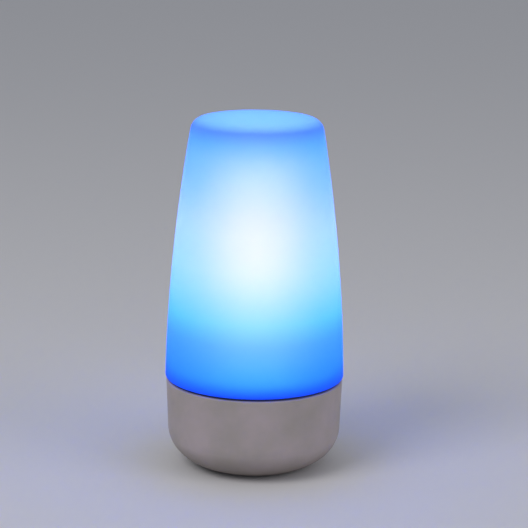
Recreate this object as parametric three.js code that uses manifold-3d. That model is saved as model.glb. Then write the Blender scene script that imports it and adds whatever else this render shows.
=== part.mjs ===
// A cordless smart LED mood lamp: an opal shade that twists and lifts off a rounded plastic base, a six-sided
// column of LEDs under a frosted tube, and a base that holds the control board, battery, socket and button.
// Millimetres, +Z up. The origin is the middle of the foot, on the surface that the lamp stands on. The front
// faces -Y; the button, the charging socket and the charge light are at the back.

import * as THREE from "three";
import { mergeVertices } from "three/addons/utils/BufferGeometryUtils.js";
import Module from "manifold-3d";

const wasm = await Module();
wasm.setup();

// ---- Driving dimensions ---------------------------------------------------------------------------------

const HEIGHT = 200;
const SEAM_HEIGHT = 50.5; // middle of the gap between shade and base
const SEAM_GAP = 1.2;
const CLEAR = 0.3; // between pieces that touch on the real lamp

// Shade: its side is a straight taper with a bulge added, then a fillet and a low crown.
const SHADE_RADIUS = 50.5; // at the seam, the widest place
const SHADE_TOP_RADIUS = 37.2;
const SHADE_BULGE = 10.5;
const SIDE_TOP = 191; // where the taper and bulge are measured to
const SHADE_WALL = 2;
const TOP_FILLET = 7.5;
const CROWN_ANGLE = THREE.MathUtils.degToRad(5.7);
const LIP_ROUND = 1.2;
const NECK_OUTER = 46.8;
const NECK_INNER = 44.6;
const NECK_DEPTH = 3.4; // below the lip

// Base shell: a bowl with a nearly upright wall.
const BASE_TOP_RADIUS = 50;
const BASE_SIDE_RADIUS = 48.95;
const BOWL_HEIGHT = 22.2;
const BOWL_REACH = 26.8;
const BASE_WALL = 2.2;
const BASE_BOTTOM = 0.9; // the shell's own underside, above the foot's
const FLOOR_TOP = 5.5;

// Underside.
const PLATE_RADIUS = 28.5;
const OPENING_RADIUS = 25.5;
const PLATE_TOP = 5;
const FOOT_INNER = 18.5;
const FOOT_OUTER = 27.3;

// Deck: the plate that closes the base and carries the lights and the bayonet.
const DECK_RADIUS = 47.1;
const DECK_BOTTOM = 44.9;
const DECK_TOP = 47.1;
const COLLAR_INNER = 39.8;
const COLLAR_OUTER = 41.8;
const COLLAR_TOP = 53;
const HOOK_OUTER = 44.1;
const HOOK_BOTTOM = 50.4;
const HOOK_TOP = 52;
const HOOK_ARC = 34; // degrees
const LUG_ARC = 26;
const LOCK_TURN = 36; // from dropped in place to locked
const HOOK_ANGLES = [90, 210, 330]; // of their middles

// Light engine.
const COLUMN_FLAT = 7; // from the axis to each of the six flats
const COLUMN_TOP = 164;
const COLUMN_BORE = 4.2;
const COLUMN_FOOT_RADIUS = 13.5;
const TUBE_RADIUS = 18;
const TUBE_WALL = 1.5;
const TUBE_STRAIGHT_TOP = 170;
const TUBE_DOME = 8;
const TUBE_FLANGE = { reach: 2.4, height: 1.5 };
const LED_COUNT = 9; // on each strip
const STRIP_BOTTOM = 54;
const STRIP_TOP = 161;
const STRIP_WIDTH = 7.6;
const STRIP_BOARD = 1; // its thickness
const LED_SIZE = 3.5;
const LED_RISE = 1.4;
const CAP_LED_SIZE = 5;
const CAP_LED_RISE = 1.4;

// Control board and what is soldered at its back edge.
const BOARD_RADIUS = 42;
const BOARD_BOTTOM = 29;
const BOARD_TOP = 30.6;
const SOLDER = 0.1; // stand-off of a soldered piece
const PORT_HEIGHT = 32.4; // axis of the socket, the button and the light pipe
const BUTTON_ANGLE = 66; // degrees from +X; the back is 90
const PIPE_ANGLE = 108;
const BUTTON_RADIUS = 4.5;

// Battery cell, lying along X.
const CELL_RADIUS = 9.2;
const CELL_LENGTH = 65.2;
const CELL_HEIGHT = 18.2; // of its axis

// Screws: head radius, head height, shank radius, length.
const BASE_SCREW = [2.5, 1.5, 1.2, 12];
const BOARD_SCREW = [2.2, 1.4, 1, 9];
const HOLDER_SCREW = [2.2, 1.4, 1, 5.2];
const COLUMN_SCREW = [1.8, 1.3, 0.9, 7];
const REFLECTOR_SCREW = [2.1, 1.4, 1, 9];

const FINE = 36; // sides of a large turned piece
const MEDIUM = 20;
const SMALL = 8;

// ---- Materials ------------------------------------------------------------------------------------------

const finish = (color, roughness, metalness = 0) =>
  new THREE.MeshStandardMaterial({ color, roughness, metalness });

const OPAL = finish(0x7fc4ff, 0.45);
const FROST = finish(0xd8efff, 0.5);
const SHELL_PLASTIC = finish(0xb4aaa8, 0.5);
const WHITE_PLASTIC = finish(0xeceef0, 0.4);
const DARK_RUBBER = finish(0x2b2c30, 0.85);
const PALE_RUBBER = finish(0xa49b99, 0.8);
const ALUMINIUM = finish(0xb9bcc0, 0.4, 1);
const STEEL = finish(0x8f9296, 0.35, 1);
const BOARD_WHITE = finish(0xf2f2ee, 0.5);
const BOARD_GREEN = finish(0x1d5a3a, 0.5);
const CHIP_BLACK = finish(0x1a1a1c, 0.45);
const CELL_WRAP = finish(0x2f7fb8, 0.4);
const NICKEL = finish(0xc6c3b8, 0.3, 1);
const RED_WIRE = finish(0xb3241f, 0.5);
const BLACK_WIRE = finish(0x1c1c1e, 0.5);
const CLEAR_PLASTIC = finish(0xe6f2f5, 0.15);

// ---- Shape helpers --------------------------------------------------------------------------------------

const radians = THREE.MathUtils.degToRad;

// A turned piece about Z, from [radius, height] pairs that run up the outside.
function turned(profile, sides = FINE) {
  const points = profile.map(([r, z]) => new THREE.Vector2(r, z));
  return new THREE.LatheGeometry(points, sides).rotateX(Math.PI / 2);
}

// A ring of rectangular section.
function ring(inner, outer, bottom, top, sides = FINE) {
  const corners = [
    [inner, bottom],
    [outer, bottom],
    [outer, top],
    [inner, top],
    [inner, bottom],
  ];
  return turned(corners, sides);
}

function rod(radius, bottom, top, sides = SMALL) {
  return new THREE.CylinderGeometry(radius, radius, top - bottom, sides)
    .rotateX(Math.PI / 2)
    .translate(0, 0, (bottom + top) / 2);
}

// A box from its lowest corner to its highest.
function block([x0, y0, z0], [x1, y1, z1]) {
  return new THREE.BoxGeometry(x1 - x0, y1 - y0, z1 - z0).translate(
    (x0 + x1) / 2,
    (y0 + y1) / 2,
    (z0 + z1) / 2,
  );
}

// A rounded rectangle in X and Z, extruded along Y.
function roundedSlot(width, height, corner, y0, y1) {
  const [w, h] = [width / 2, height / 2];
  const outline = new THREE.Shape();
  outline.moveTo(-w + corner, -h);
  outline.lineTo(w - corner, -h);
  outline.absarc(w - corner, -h + corner, corner, -Math.PI / 2, 0);
  outline.absarc(w - corner, h - corner, corner, 0, Math.PI / 2);
  outline.absarc(-w + corner, h - corner, corner, Math.PI / 2, Math.PI);
  outline.absarc(-w + corner, -h + corner, corner, Math.PI, 1.5 * Math.PI);
  return new THREE.ExtrudeGeometry(outline, {
    depth: y1 - y0,
    bevelEnabled: false,
    curveSegments: 4,
  })
    .rotateX(Math.PI / 2)
    .translate(0, y1, 0);
}

// Part of a ring, centred on an angle in degrees.
function arcBlock(inner, outer, bottom, top, middle, arc) {
  const outline = new THREE.Shape();
  const from = radians(middle - arc / 2);
  const to = radians(middle + arc / 2);
  outline.absarc(0, 0, outer, from, to, false);
  outline.absarc(0, 0, inner, to, from, true);
  return new THREE.ExtrudeGeometry(outline, {
    depth: top - bottom,
    bevelEnabled: false,
    curveSegments: 4,
  }).translate(0, 0, bottom);
}

// Points of a circular or elliptical arc; angles in radians, the first and last included.
function arcPoints(centreR, centreZ, reach, rise, from, to, steps) {
  return Array.from({ length: steps + 1 }, (_, i) => {
    const angle = from + ((to - from) * i) / steps;
    return [centreR + reach * Math.cos(angle), centreZ + rise * Math.sin(angle)];
  });
}

// A lead of round section along a smooth curve through points.
function lead(points, radius, steps) {
  const route = new THREE.CatmullRomCurve3(points.map((p) => new THREE.Vector3(...p)));
  const section = new THREE.Shape().absarc(0, 0, radius, 0, 2 * Math.PI);
  return new THREE.ExtrudeGeometry(section, {
    steps,
    extrudePath: route,
    curveSegments: 4,
  });
}

function solid(geometry) {
  const bare = geometry.clone();
  bare.deleteAttribute("normal");
  bare.deleteAttribute("uv");
  const merged = mergeVertices(bare, 1e-4);
  return new wasm.Manifold(
    new wasm.Mesh({
      numProp: 3,
      vertProperties: merged.attributes.position.array,
      triVerts: new Uint32Array(merged.index.array),
    }),
  );
}

function geometryOf(made) {
  const mesh = made.getMesh();
  return new THREE.BufferGeometry()
    .setAttribute("position", new THREE.BufferAttribute(mesh.vertProperties, 3))
    .setIndex(new THREE.BufferAttribute(mesh.triVerts, 1));
}

// Joins geometries, then takes the cuts away.
function shaped(joined, cuts = []) {
  const whole = joined.map(solid).reduce((a, b) => a.add(b));
  return geometryOf(cuts.map(solid).reduce((a, b) => a.subtract(b), whole));
}

function piece(name, geometry, material) {
  const mesh = new THREE.Mesh(geometry, material);
  mesh.name = name;
  return mesh;
}

// Stands a piece made about Z on a place, at an angle about Z.
function placed(mesh, x, y, z = 0, angle = 0) {
  mesh.position.set(x, y, z);
  mesh.rotation.z = radians(angle);
  return mesh;
}

// Turns a piece made about +Z so that it points out from the lamp's axis, level with the socket.
function facingOut(mesh, angle) {
  mesh.position.set(0, 0, PORT_HEIGHT);
  mesh.rotation.order = "ZYX";
  mesh.rotation.set(0, Math.PI / 2, radians(angle));
  return mesh;
}

// The same turn for a geometry that joins or cuts a shell.
function outward(geometry, angle) {
  return geometry
    .rotateY(Math.PI / 2)
    .rotateZ(radians(angle))
    .translate(0, 0, PORT_HEIGHT);
}

const onCircle = (radius, angle) => [
  radius * Math.cos(radians(angle)),
  radius * Math.sin(radians(angle)),
];

// A pan-head screw that points up, its head's underside at z 0. Its shank goes up by length.
function screw(name, headRadius, headHeight, shankRadius, length) {
  const profile = [
    [0, -headHeight],
    [headRadius * 0.8, -headHeight],
    [headRadius, -headHeight * 0.5],
    [headRadius, 0],
    [shankRadius, 0],
    [shankRadius, length - shankRadius],
    [0, length],
  ];
  return piece(name, turned(profile, SMALL), STEEL);
}

// ---- Shade ----------------------------------------------------------------------------------------------

const LIP = SEAM_HEIGHT + SEAM_GAP / 2;
const BASE_RIM = SEAM_HEIGHT - SEAM_GAP / 2;

function shadeRadius(z) {
  const t = (z - SEAM_HEIGHT) / (SIDE_TOP - SEAM_HEIGHT);
  return SHADE_RADIUS + (SHADE_TOP_RADIUS - SHADE_RADIUS) * t + SHADE_BULGE * t * (1 - t);
}

// How far the side leans in near its top, from the slope of shadeRadius.
const LEAN = Math.atan(shadeRadius(SIDE_TOP) - shadeRadius(SIDE_TOP + 1));
const CROWN_EDGE = shadeRadius(SIDE_TOP) - TOP_FILLET * (Math.cos(LEAN) - Math.sin(CROWN_ANGLE));
const CROWN_RISE = CROWN_EDGE * Math.tan(CROWN_ANGLE / 2);
const FILLET_HEIGHT = HEIGHT - CROWN_RISE - TOP_FILLET * Math.cos(CROWN_ANGLE);
const SIDE_END = FILLET_HEIGHT + TOP_FILLET * Math.sin(LEAN);
const FILLET_CENTRE = shadeRadius(SIDE_END) - TOP_FILLET * Math.cos(LEAN);

// The shade's surface from a height on its side up to the axis, inset by the wall for the inside.
function shadeSurface(from, inset, steps) {
  const side = Array.from({ length: steps }, (_, i) => {
    const z = from + ((SIDE_END - from) * i) / steps;
    return [shadeRadius(z) - inset, z];
  });
  const fillet = TOP_FILLET - inset;
  const corner = arcPoints(
    FILLET_CENTRE, FILLET_HEIGHT, fillet, fillet, LEAN, Math.PI / 2 - CROWN_ANGLE, steps - 2,
  );
  const crownRadius = CROWN_EDGE / Math.sin(CROWN_ANGLE);
  const crown = [1 / 2, 0].map((share) => {
    const angle = CROWN_ANGLE * share;
    return [
      (crownRadius - inset) * Math.sin(angle),
      HEIGHT - inset - (crownRadius - inset) * (1 - Math.cos(angle)),
    ];
  });
  return [...side, ...corner, ...crown];
}

function makeShade() {
  const neckBottom = LIP - NECK_DEPTH;
  const profile = [
    ...shadeSurface(LIP + 5.4, SHADE_WALL, 5).reverse(),
    [NECK_INNER, LIP + 2.4],
    [NECK_INNER, neckBottom],
    [NECK_OUTER, neckBottom],
    [NECK_OUTER, LIP],
    ...arcPoints(SHADE_RADIUS - LIP_ROUND, LIP + LIP_ROUND, LIP_ROUND, LIP_ROUND, -Math.PI / 2, 0, 2),
    ...shadeSurface(LIP + 5.4, 0, 6),
  ];
  const lugs = HOOK_ANGLES.map((a) =>
    arcBlock(42.2, NECK_INNER + 0.8, neckBottom + 0.2, HOOK_BOTTOM - 0.4, a - LOCK_TURN, LUG_ARC),
  );
  return piece("shade", shaped([turned(profile), ...lugs]), OPAL);
}

function makeRimGasket() {
  return piece("rim_gasket", ring(47.6, 49, BASE_RIM + CLEAR, LIP - CLEAR), DARK_RUBBER);
}

// ---- Base shell -----------------------------------------------------------------------------------------

const BOWL_CENTRE = BASE_SIDE_RADIUS - BOWL_REACH;
const WALL_AT_PORT = 49.3; // the shell's outer radius at the height of the socket
const COVER = { width: 12.8, height: 8.4, corner: 1.2 };
const HINGE = { y: 48.35, z: PORT_HEIGHT + COVER.height / 2 };
const SOCKET_FRONT = 46;

function makeBaseShell() {
  const flatEdge = Math.asin(1 - BASE_BOTTOM / BOWL_HEIGHT); // where the bowl meets the underside
  const ledge = DECK_BOTTOM - CLEAR;
  const innerRise = BOWL_HEIGHT - FLOOR_TOP;
  const floorEdge = Math.acos((OPENING_RADIUS - BOWL_CENTRE) / (BOWL_REACH - BASE_WALL));
  const profile = [
    [PLATE_RADIUS + CLEAR, BASE_BOTTOM],
    ...arcPoints(BOWL_CENTRE, BOWL_HEIGHT, BOWL_REACH, BOWL_HEIGHT, -flatEdge, 0, 6),
    [BASE_TOP_RADIUS, BASE_RIM - 0.8],
    [BASE_TOP_RADIUS - 0.8, BASE_RIM],
    [DECK_RADIUS + CLEAR, BASE_RIM],
    [DECK_RADIUS + CLEAR, ledge],
    [DECK_RADIUS - 1.5, ledge],
    [DECK_RADIUS - 1.5, ledge - 1.2],
    [DECK_RADIUS + 0.2, ledge - 3],
    ...arcPoints(BOWL_CENTRE, BOWL_HEIGHT, BOWL_REACH - BASE_WALL, innerRise, 0, -floorEdge, 4),
    [OPENING_RADIUS, BASE_BOTTOM + FLANGE_THICKNESS + CLEAR],
    [PLATE_RADIUS + CLEAR, BASE_BOTTOM + FLANGE_THICKNESS + CLEAR],
    [PLATE_RADIUS + CLEAR, BASE_BOTTOM],
  ];
  const socketPad = block([-9.5, 46.3, PORT_HEIGHT - 5], [9.5, 47.9, PORT_HEIGHT + 6.8]);
  const buttonPad = outward(rod(7.5, 45.2, 47.9, MEDIUM), BUTTON_ANGLE);
  const recess = [COVER.width + 2 * CLEAR, COVER.height + 2 * CLEAR, COVER.corner + CLEAR];
  const coverRecess = roundedSlot(...recess, 47.5, 53).translate(0, 0, PORT_HEIGHT);
  const hingeGroove = rod(1.6, -recess[0] / 2, recess[0] / 2, 16)
    .rotateY(Math.PI / 2)
    .translate(0, HINGE.y, HINGE.z);
  const socketSlot = roundedSlot(9.8, 4.2, 2, 43, 48).translate(0, 0, PORT_HEIGHT);
  const buttonHole = outward(rod(BUTTON_RADIUS + CLEAR, 43, 53, MEDIUM), BUTTON_ANGLE);
  const pipeHole = outward(rod(1.4, 43, 53), PIPE_ANGLE);
  const geometry = shaped(
    [turned(profile), socketPad, buttonPad],
    [coverRecess, hingeGroove, socketSlot, buttonHole, pipeHole],
  );
  return piece("base_shell", geometry, SHELL_PLASTIC);
}

// ---- Underside ------------------------------------------------------------------------------------------

const PILLARS = [
  [16, 15],
  [-16, 15],
  [-16, -15],
  [16, -15],
];
const HOLDER_SCREWS = [
  [0, 13.5],
  [0, -13.5],
];
const GROOVE_TOP = 1.9; // of the channel that the foot sits in
const FLANGE_THICKNESS = 2.1; // of the plate's rim, under the shell's
const POCKET_RADIUS = 2.9;
const POCKET_TOP = 3.7;

function makeBottomPlate() {
  const profile = [
    [0, BASE_BOTTOM],
    [FOOT_INNER - CLEAR, BASE_BOTTOM],
    [FOOT_INNER - CLEAR, GROOVE_TOP],
    [FOOT_OUTER + CLEAR, GROOVE_TOP],
    [FOOT_OUTER + CLEAR, BASE_BOTTOM],
    [PLATE_RADIUS, BASE_BOTTOM],
    [PLATE_RADIUS, BASE_BOTTOM + FLANGE_THICKNESS],
    [OPENING_RADIUS - CLEAR, BASE_BOTTOM + FLANGE_THICKNESS],
    [OPENING_RADIUS - CLEAR, PLATE_TOP],
    [0, PLATE_TOP],
  ];
  const pockets = PILLARS.map(([x, y]) => rod(POCKET_RADIUS, 0, POCKET_TOP).translate(x, y, 0));
  const throughHoles = PILLARS.map(([x, y]) => rod(1.6, 3, 6).translate(x, y, 0));
  const pilotHoles = HOLDER_SCREWS.map(([x, y]) => rod(1.2, 2.2, 6).translate(x, y, 0));
  const geometry = shaped([turned(profile)], [...pockets, ...throughHoles, ...pilotHoles]);
  return piece("bottom_plate", geometry, SHELL_PLASTIC);
}

function makeFootRing() {
  const profile = [
    [FOOT_INNER + 0.4, 0],
    [FOOT_OUTER - 0.4, 0],
    [FOOT_OUTER, 0.4],
    [FOOT_OUTER, GROOVE_TOP - CLEAR],
    [FOOT_INNER, GROOVE_TOP - CLEAR],
    [FOOT_INNER, 0.4],
    [FOOT_INNER + 0.4, 0],
  ];
  return piece("foot_ring", turned(profile), PALE_RUBBER);
}

function makeBaseScrews() {
  const seat = POCKET_TOP - 0.1;
  return PILLARS.map(([x, y], i) => placed(screw(`base_screw_${i + 1}`, ...BASE_SCREW), x, y, seat));
}

// ---- Deck -----------------------------------------------------------------------------------------------

const BOARD_SCREW_ANGLES = [30, 150, 270];
const REFLECTOR_SCREW_ANGLES = [90, 210, 330];
const COLUMN_SCREW_ANGLES = [0, 120, 240];
const BOARD_SCREW_CIRCLE = 33;
const REFLECTOR_SCREW_CIRCLE = 29;
const COLUMN_SCREW_CIRCLE = 10.9;
const REFLECTOR_BOSS_TOP = 49.6;
const REFLECTOR_BOSS_BOTTOM = 40.5;
const COLUMN_BOSS_BOTTOM = 39.5;
const PILLAR_RADIUS = 3.2;
const LEAD_HOLE_RADIUS = 6;
const STOP_ARC = 3; // degrees
const STOP_TURN = LUG_ARC / 2 + 1 + STOP_ARC / 2; // from a hook's middle, past the locked lug

function makeTopDeck() {
  const at = (geometry, circle, angle) => geometry.translate(...onCircle(circle, angle), 0);
  const pillars = PILLARS.map(([x, y]) =>
    rod(PILLAR_RADIUS, PLATE_TOP + CLEAR, DECK_BOTTOM + 1).translate(x, y, 0),
  );
  const boardBosses = BOARD_SCREW_ANGLES.map((a) =>
    at(rod(2.8, BOARD_TOP + CLEAR, DECK_BOTTOM + 1), BOARD_SCREW_CIRCLE, a),
  );
  const reflectorBosses = REFLECTOR_SCREW_ANGLES.map((a) =>
    at(rod(2.4, REFLECTOR_BOSS_BOTTOM, REFLECTOR_BOSS_TOP), REFLECTOR_SCREW_CIRCLE, a),
  );
  const columnBosses = COLUMN_SCREW_ANGLES.map((a) =>
    at(rod(2.6, COLUMN_BOSS_BOTTOM, DECK_BOTTOM + 1), COLUMN_SCREW_CIRCLE, a),
  );
  const hooks = HOOK_ANGLES.map((a) =>
    arcBlock(COLLAR_OUTER - 0.8, HOOK_OUTER, HOOK_BOTTOM, HOOK_TOP, a, HOOK_ARC),
  );
  const stops = HOOK_ANGLES.map((a) =>
    arcBlock(COLLAR_OUTER - 0.8, HOOK_OUTER, DECK_TOP - 0.5, HOOK_BOTTOM + 0.5, a + STOP_TURN, STOP_ARC),
  );
  const holes = [
    rod(LEAD_HOLE_RADIUS, 40, 50),
    ...PILLARS.map(([x, y]) => rod(1.45, 0, 18).translate(x, y, 0)),
    ...BOARD_SCREW_ANGLES.map((a) => at(rod(1.25, 30, 40), BOARD_SCREW_CIRCLE, a)),
    ...REFLECTOR_SCREW_ANGLES.map((a) =>
      at(rod(1.25, REFLECTOR_BOSS_BOTTOM + 1, 52), REFLECTOR_SCREW_CIRCLE, a),
    ),
    ...COLUMN_SCREW_ANGLES.map((a) => at(rod(1.15, COLUMN_BOSS_BOTTOM + 1, 50), COLUMN_SCREW_CIRCLE, a)),
  ];
  const geometry = shaped(
    [
      rod(DECK_RADIUS, DECK_BOTTOM, DECK_TOP, FINE),
      ring(COLLAR_INNER, COLLAR_OUTER, DECK_TOP - 0.5, COLLAR_TOP),
      ...hooks,
      ...stops,
      ...pillars,
      ...boardBosses,
      ...reflectorBosses,
      ...columnBosses,
    ],
    holes,
  );
  return piece("top_deck", geometry, WHITE_PLASTIC);
}

// ---- Light engine ---------------------------------------------------------------------------------------

const FLANGE_BOTTOM = DECK_TOP + CLEAR;

const DISH = { start: 20, bottom: 49.2, top: 50.4, rimBottom: 51.4, rimTop: 52.8, wall: 1.2 };

// The dish that sends light up the shade. Its skirt stands on the deck; its inner edge holds the tube down.
function makeReflector() {
  const [inner, outer] = [TUBE_RADIUS + 0.4, COLLAR_INNER - 0.5];
  const profile = [
    [inner, DISH.bottom],
    [DISH.start, DISH.bottom],
    [outer - DISH.wall, DISH.rimBottom],
    [outer - DISH.wall, FLANGE_BOTTOM],
    [outer, FLANGE_BOTTOM],
    [outer, DISH.rimTop],
    [DISH.start, DISH.top],
    [inner, DISH.top],
    [inner, DISH.bottom],
  ];
  const holes = REFLECTOR_SCREW_ANGLES.map((a) =>
    rod(1.3, 48, 54).translate(...onCircle(REFLECTOR_SCREW_CIRCLE, a), 0),
  );
  return piece("reflector", shaped([turned(profile)], holes), WHITE_PLASTIC);
}

// Its screws point down, so the shared screw is turned over.
function downScrews(name, angles, circle, height, sizes) {
  return angles.map((a, i) => {
    const made = placed(screw(`${name}_${i + 1}`, ...sizes), ...onCircle(circle, a), height);
    made.rotation.x = Math.PI;
    return made;
  });
}

function makeColumn() {
  const cornerRadius = COLUMN_FLAT / Math.cos(Math.PI / 6);
  const corners = Array.from({ length: 6 }, (_, i) => new THREE.Vector2(...onCircle(cornerRadius, 60 * i)));
  const hexagon = new THREE.Shape(corners);
  const foot = rod(COLUMN_FOOT_RADIUS, FLANGE_BOTTOM, FLANGE_BOTTOM + 2, MEDIUM);
  const stem = new THREE.ExtrudeGeometry(hexagon, {
    depth: COLUMN_TOP - FLANGE_BOTTOM - 1,
    bevelEnabled: false,
  }).translate(0, 0, FLANGE_BOTTOM + 1);
  const holes = COLUMN_SCREW_ANGLES.map((a) =>
    rod(1.3, 46, 51).translate(...onCircle(COLUMN_SCREW_CIRCLE, a), 0),
  );
  const geometry = shaped([foot, stem], [rod(COLUMN_BORE, 45, COLUMN_TOP + 1), ...holes]);
  return piece("led_column", geometry, ALUMINIUM);
}

// A strip board with its LEDs, made lying along Z and facing +X, then turned to its flat.
function makeLedStrips() {
  const face = COLUMN_FLAT + CLEAR + STRIP_BOARD;
  const [halfBoard, halfLed] = [STRIP_WIDTH / 2, LED_SIZE / 2];
  const pitch = (STRIP_TOP - STRIP_BOTTOM) / LED_COUNT;
  const leds = Array.from({ length: LED_COUNT }, (_, i) => {
    const z = STRIP_BOTTOM + pitch * (i + 0.5);
    return block([face - 0.2, -halfLed, z - halfLed], [face + LED_RISE, halfLed, z + halfLed]);
  });
  const board = block([face - STRIP_BOARD, -halfBoard, STRIP_BOTTOM], [face, halfBoard, STRIP_TOP]);
  return Array.from({ length: 6 }, (_, i) =>
    placed(piece(`led_strip_${i + 1}`, shaped([board, ...leds]), BOARD_WHITE), 0, 0, 0, 30 + 60 * i),
  );
}

function makeCapBoard() {
  const bottom = COLUMN_TOP + CLEAR;
  const half = CAP_LED_SIZE / 2;
  const face = bottom + 1;
  const led = block([-half, -half, face - 0.2], [half, half, face + CAP_LED_RISE]);
  return piece("led_cap_board", shaped([rod(COLUMN_FLAT, bottom, face, MEDIUM), led]), BOARD_WHITE);
}

function makeLightTube() {
  const inside = TUBE_RADIUS - TUBE_WALL;
  const flangeRadius = TUBE_RADIUS + TUBE_FLANGE.reach;
  const flangeTop = FLANGE_BOTTOM + TUBE_FLANGE.height;
  const profile = [
    ...arcPoints(0, TUBE_STRAIGHT_TOP, inside, TUBE_DOME - TUBE_WALL, 0, Math.PI / 2, 5).reverse(),
    [inside, FLANGE_BOTTOM],
    [flangeRadius, FLANGE_BOTTOM],
    [flangeRadius, flangeTop],
    [TUBE_RADIUS, flangeTop],
    ...arcPoints(0, TUBE_STRAIGHT_TOP, TUBE_RADIUS, TUBE_DOME, 0, Math.PI / 2, 5),
  ];
  profile[0][0] = 0;
  profile[profile.length - 1][0] = 0;
  return piece("light_tube", turned(profile, MEDIUM), FROST);
}

// ---- Control board --------------------------------------------------------------------------------------

function makeMainBoard() {
  const [below, above] = [BOARD_BOTTOM - 1, BOARD_TOP + 1.4];
  const cuts = [
    ...PILLARS.map(([x, y]) => rod(PILLAR_RADIUS + 0.4, below, above).translate(x, y, 0)),
    ...BOARD_SCREW_ANGLES.map((a) =>
      rod(1.4, below, above).translate(...onCircle(BOARD_SCREW_CIRCLE, a), 0),
    ),
    block([-14, 40.6, below], [14, 45, above]), // flat behind the socket
    block([32.5, -6, below], [45, 6, above]), // a notch for each battery contact
    block([-45, -6, below], [-32.5, 6, above]),
  ];
  return piece("main_board", shaped([rod(BOARD_RADIUS, BOARD_BOTTOM, BOARD_TOP, FINE)], cuts), BOARD_GREEN);
}

function makeBoardScrews() {
  return BOARD_SCREW_ANGLES.map((a, i) => {
    const made = screw(`board_screw_${i + 1}`, ...BOARD_SCREW);
    return placed(made, ...onCircle(BOARD_SCREW_CIRCLE, a), BOARD_BOTTOM - CLEAR);
  });
}

// A block soldered on the board's upper face.
function chip(name, x, y, width, depth, height, material = CHIP_BLACK) {
  const bottom = BOARD_TOP + SOLDER;
  const [w, d] = [width / 2, depth / 2];
  return piece(name, block([x - w, y - d, bottom], [x + w, y + d, bottom + height]), material);
}

function makeRadioModule() {
  const carrier = block([-36, -11, BOARD_TOP + SOLDER], [-16, 7, BOARD_TOP + 0.9]);
  const can = block([-30.5, -10, BOARD_TOP + 0.5], [-17, 6, BOARD_TOP + 3.2]);
  return piece("radio_module", shaped([carrier, can]), NICKEL);
}

// A can with a crimped neck, from a foot on the board.
function capacitor(name, x, y) {
  const bottom = BOARD_TOP + SOLDER;
  const [radius, top] = [3.15, bottom + 7.7];
  const profile = [
    [0, bottom],
    [radius, bottom],
    [radius, bottom + 1],
    [radius - 0.25, bottom + 1.4],
    [radius, bottom + 1.8],
    [radius, top - 0.3],
    [radius - 0.35, top],
    [0, top],
  ];
  return placed(piece(name, turned(profile, SMALL), ALUMINIUM), x, y);
}

function makeUsbSocket() {
  const [back, front] = [38.9, SOCKET_FRONT];
  const body = roundedSlot(8.94, 3.26, 1.6, back, front);
  const mouth = roundedSlot(8.3, 2.6, 1.28, back + 1.2, front + 1);
  const tongue = block([-3.3, back + 0.8, -0.35], [3.3, front - 0.9, 0.35]);
  const geometry = geometryOf(solid(body).subtract(solid(mouth)).add(solid(tongue)));
  return placed(piece("usb_socket", geometry, STEEL), 0, 0, PORT_HEIGHT);
}

// ---- Button, light pipe and port cover ------------------------------------------------------------------

// The button's pieces are made about +Z, the lamp's radius being their height, then turned outwards.
function makeSwitch() {
  const body = block([-1.7, -3, 36], [1.7, 3, 41.2]);
  return facingOut(piece("switch_body", shaped([body], [rod(1.3, 38.4, 42)]), CHIP_BLACK), BUTTON_ANGLE);
}

function makeSwitchPlunger() {
  return facingOut(piece("switch_plunger", rod(1, 40.3, 42.1), WHITE_PLASTIC), BUTTON_ANGLE);
}

function makePowerButton() {
  const face = WALL_AT_PORT + 0.6;
  const flange = { radius: 5.9, back: 43.6, front: 44.9 };
  const profile = [
    [0, 42.4],
    [1.5, 42.4],
    [1.5, flange.back],
    [flange.radius, flange.back],
    [flange.radius, flange.front],
    [BUTTON_RADIUS, flange.front],
    [BUTTON_RADIUS, face - 0.5],
    [BUTTON_RADIUS - 0.5, face],
    [BUTTON_RADIUS - 1.2, face],
    [0, face - 0.35],
  ];
  return facingOut(piece("power_button", turned(profile, MEDIUM), SHELL_PLASTIC), BUTTON_ANGLE);
}

function makeLightPipe() {
  const profile = [
    [0, 42.6],
    [1.1, 42.6],
    [1.1, 45.6],
    [2, 45.6],
    [2, 46.6],
    [1.1, 46.6],
    [1.1, WALL_AT_PORT - 0.2],
    [0, WALL_AT_PORT - 0.1],
  ];
  return facingOut(piece("charge_light_pipe", turned(profile, SMALL), CLEAR_PLASTIC), PIPE_ANGLE);
}

// A flap that lies flush in its recess, hung from a knuckle along its top edge.
function makePortCover() {
  const blank = roundedSlot(COVER.width, COVER.height, COVER.corner, 47.8, 52).translate(0, 0, PORT_HEIGHT);
  const wall = rod(WALL_AT_PORT - 0.05, 20, 45, 96);
  const knuckle = rod(0.8, -6.2, 6.2)
    .rotateY(Math.PI / 2)
    .translate(0, HINGE.y, HINGE.z);
  const rib = roundedSlot(8.6, 3, 1.4, 46.6, 48).translate(0, 0, PORT_HEIGHT);
  const flap = solid(blank).intersect(solid(wall));
  return piece("port_cover", geometryOf(flap.add(solid(knuckle)).add(solid(rib))), PALE_RUBBER);
}

// ---- Battery --------------------------------------------------------------------------------------------

function alongX(geometry) {
  return geometry.rotateY(Math.PI / 2);
}

function makeBatteryCell() {
  const half = CELL_LENGTH / 2;
  const profile = [
    [0, -half],
    [8.6, -half],
    [CELL_RADIUS, -half + 0.6],
    [CELL_RADIUS, half - 1.6],
    [8.4, half - 1],
    [3.4, half - 1],
    [3.4, half],
    [0, half],
  ];
  const cell = piece("battery_cell", alongX(turned(profile, MEDIUM)), CELL_WRAP);
  return placed(cell, 0, 0, CELL_HEIGHT);
}

const EAR_TOP = 7.8; // of the holder's screwed ears

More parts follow.
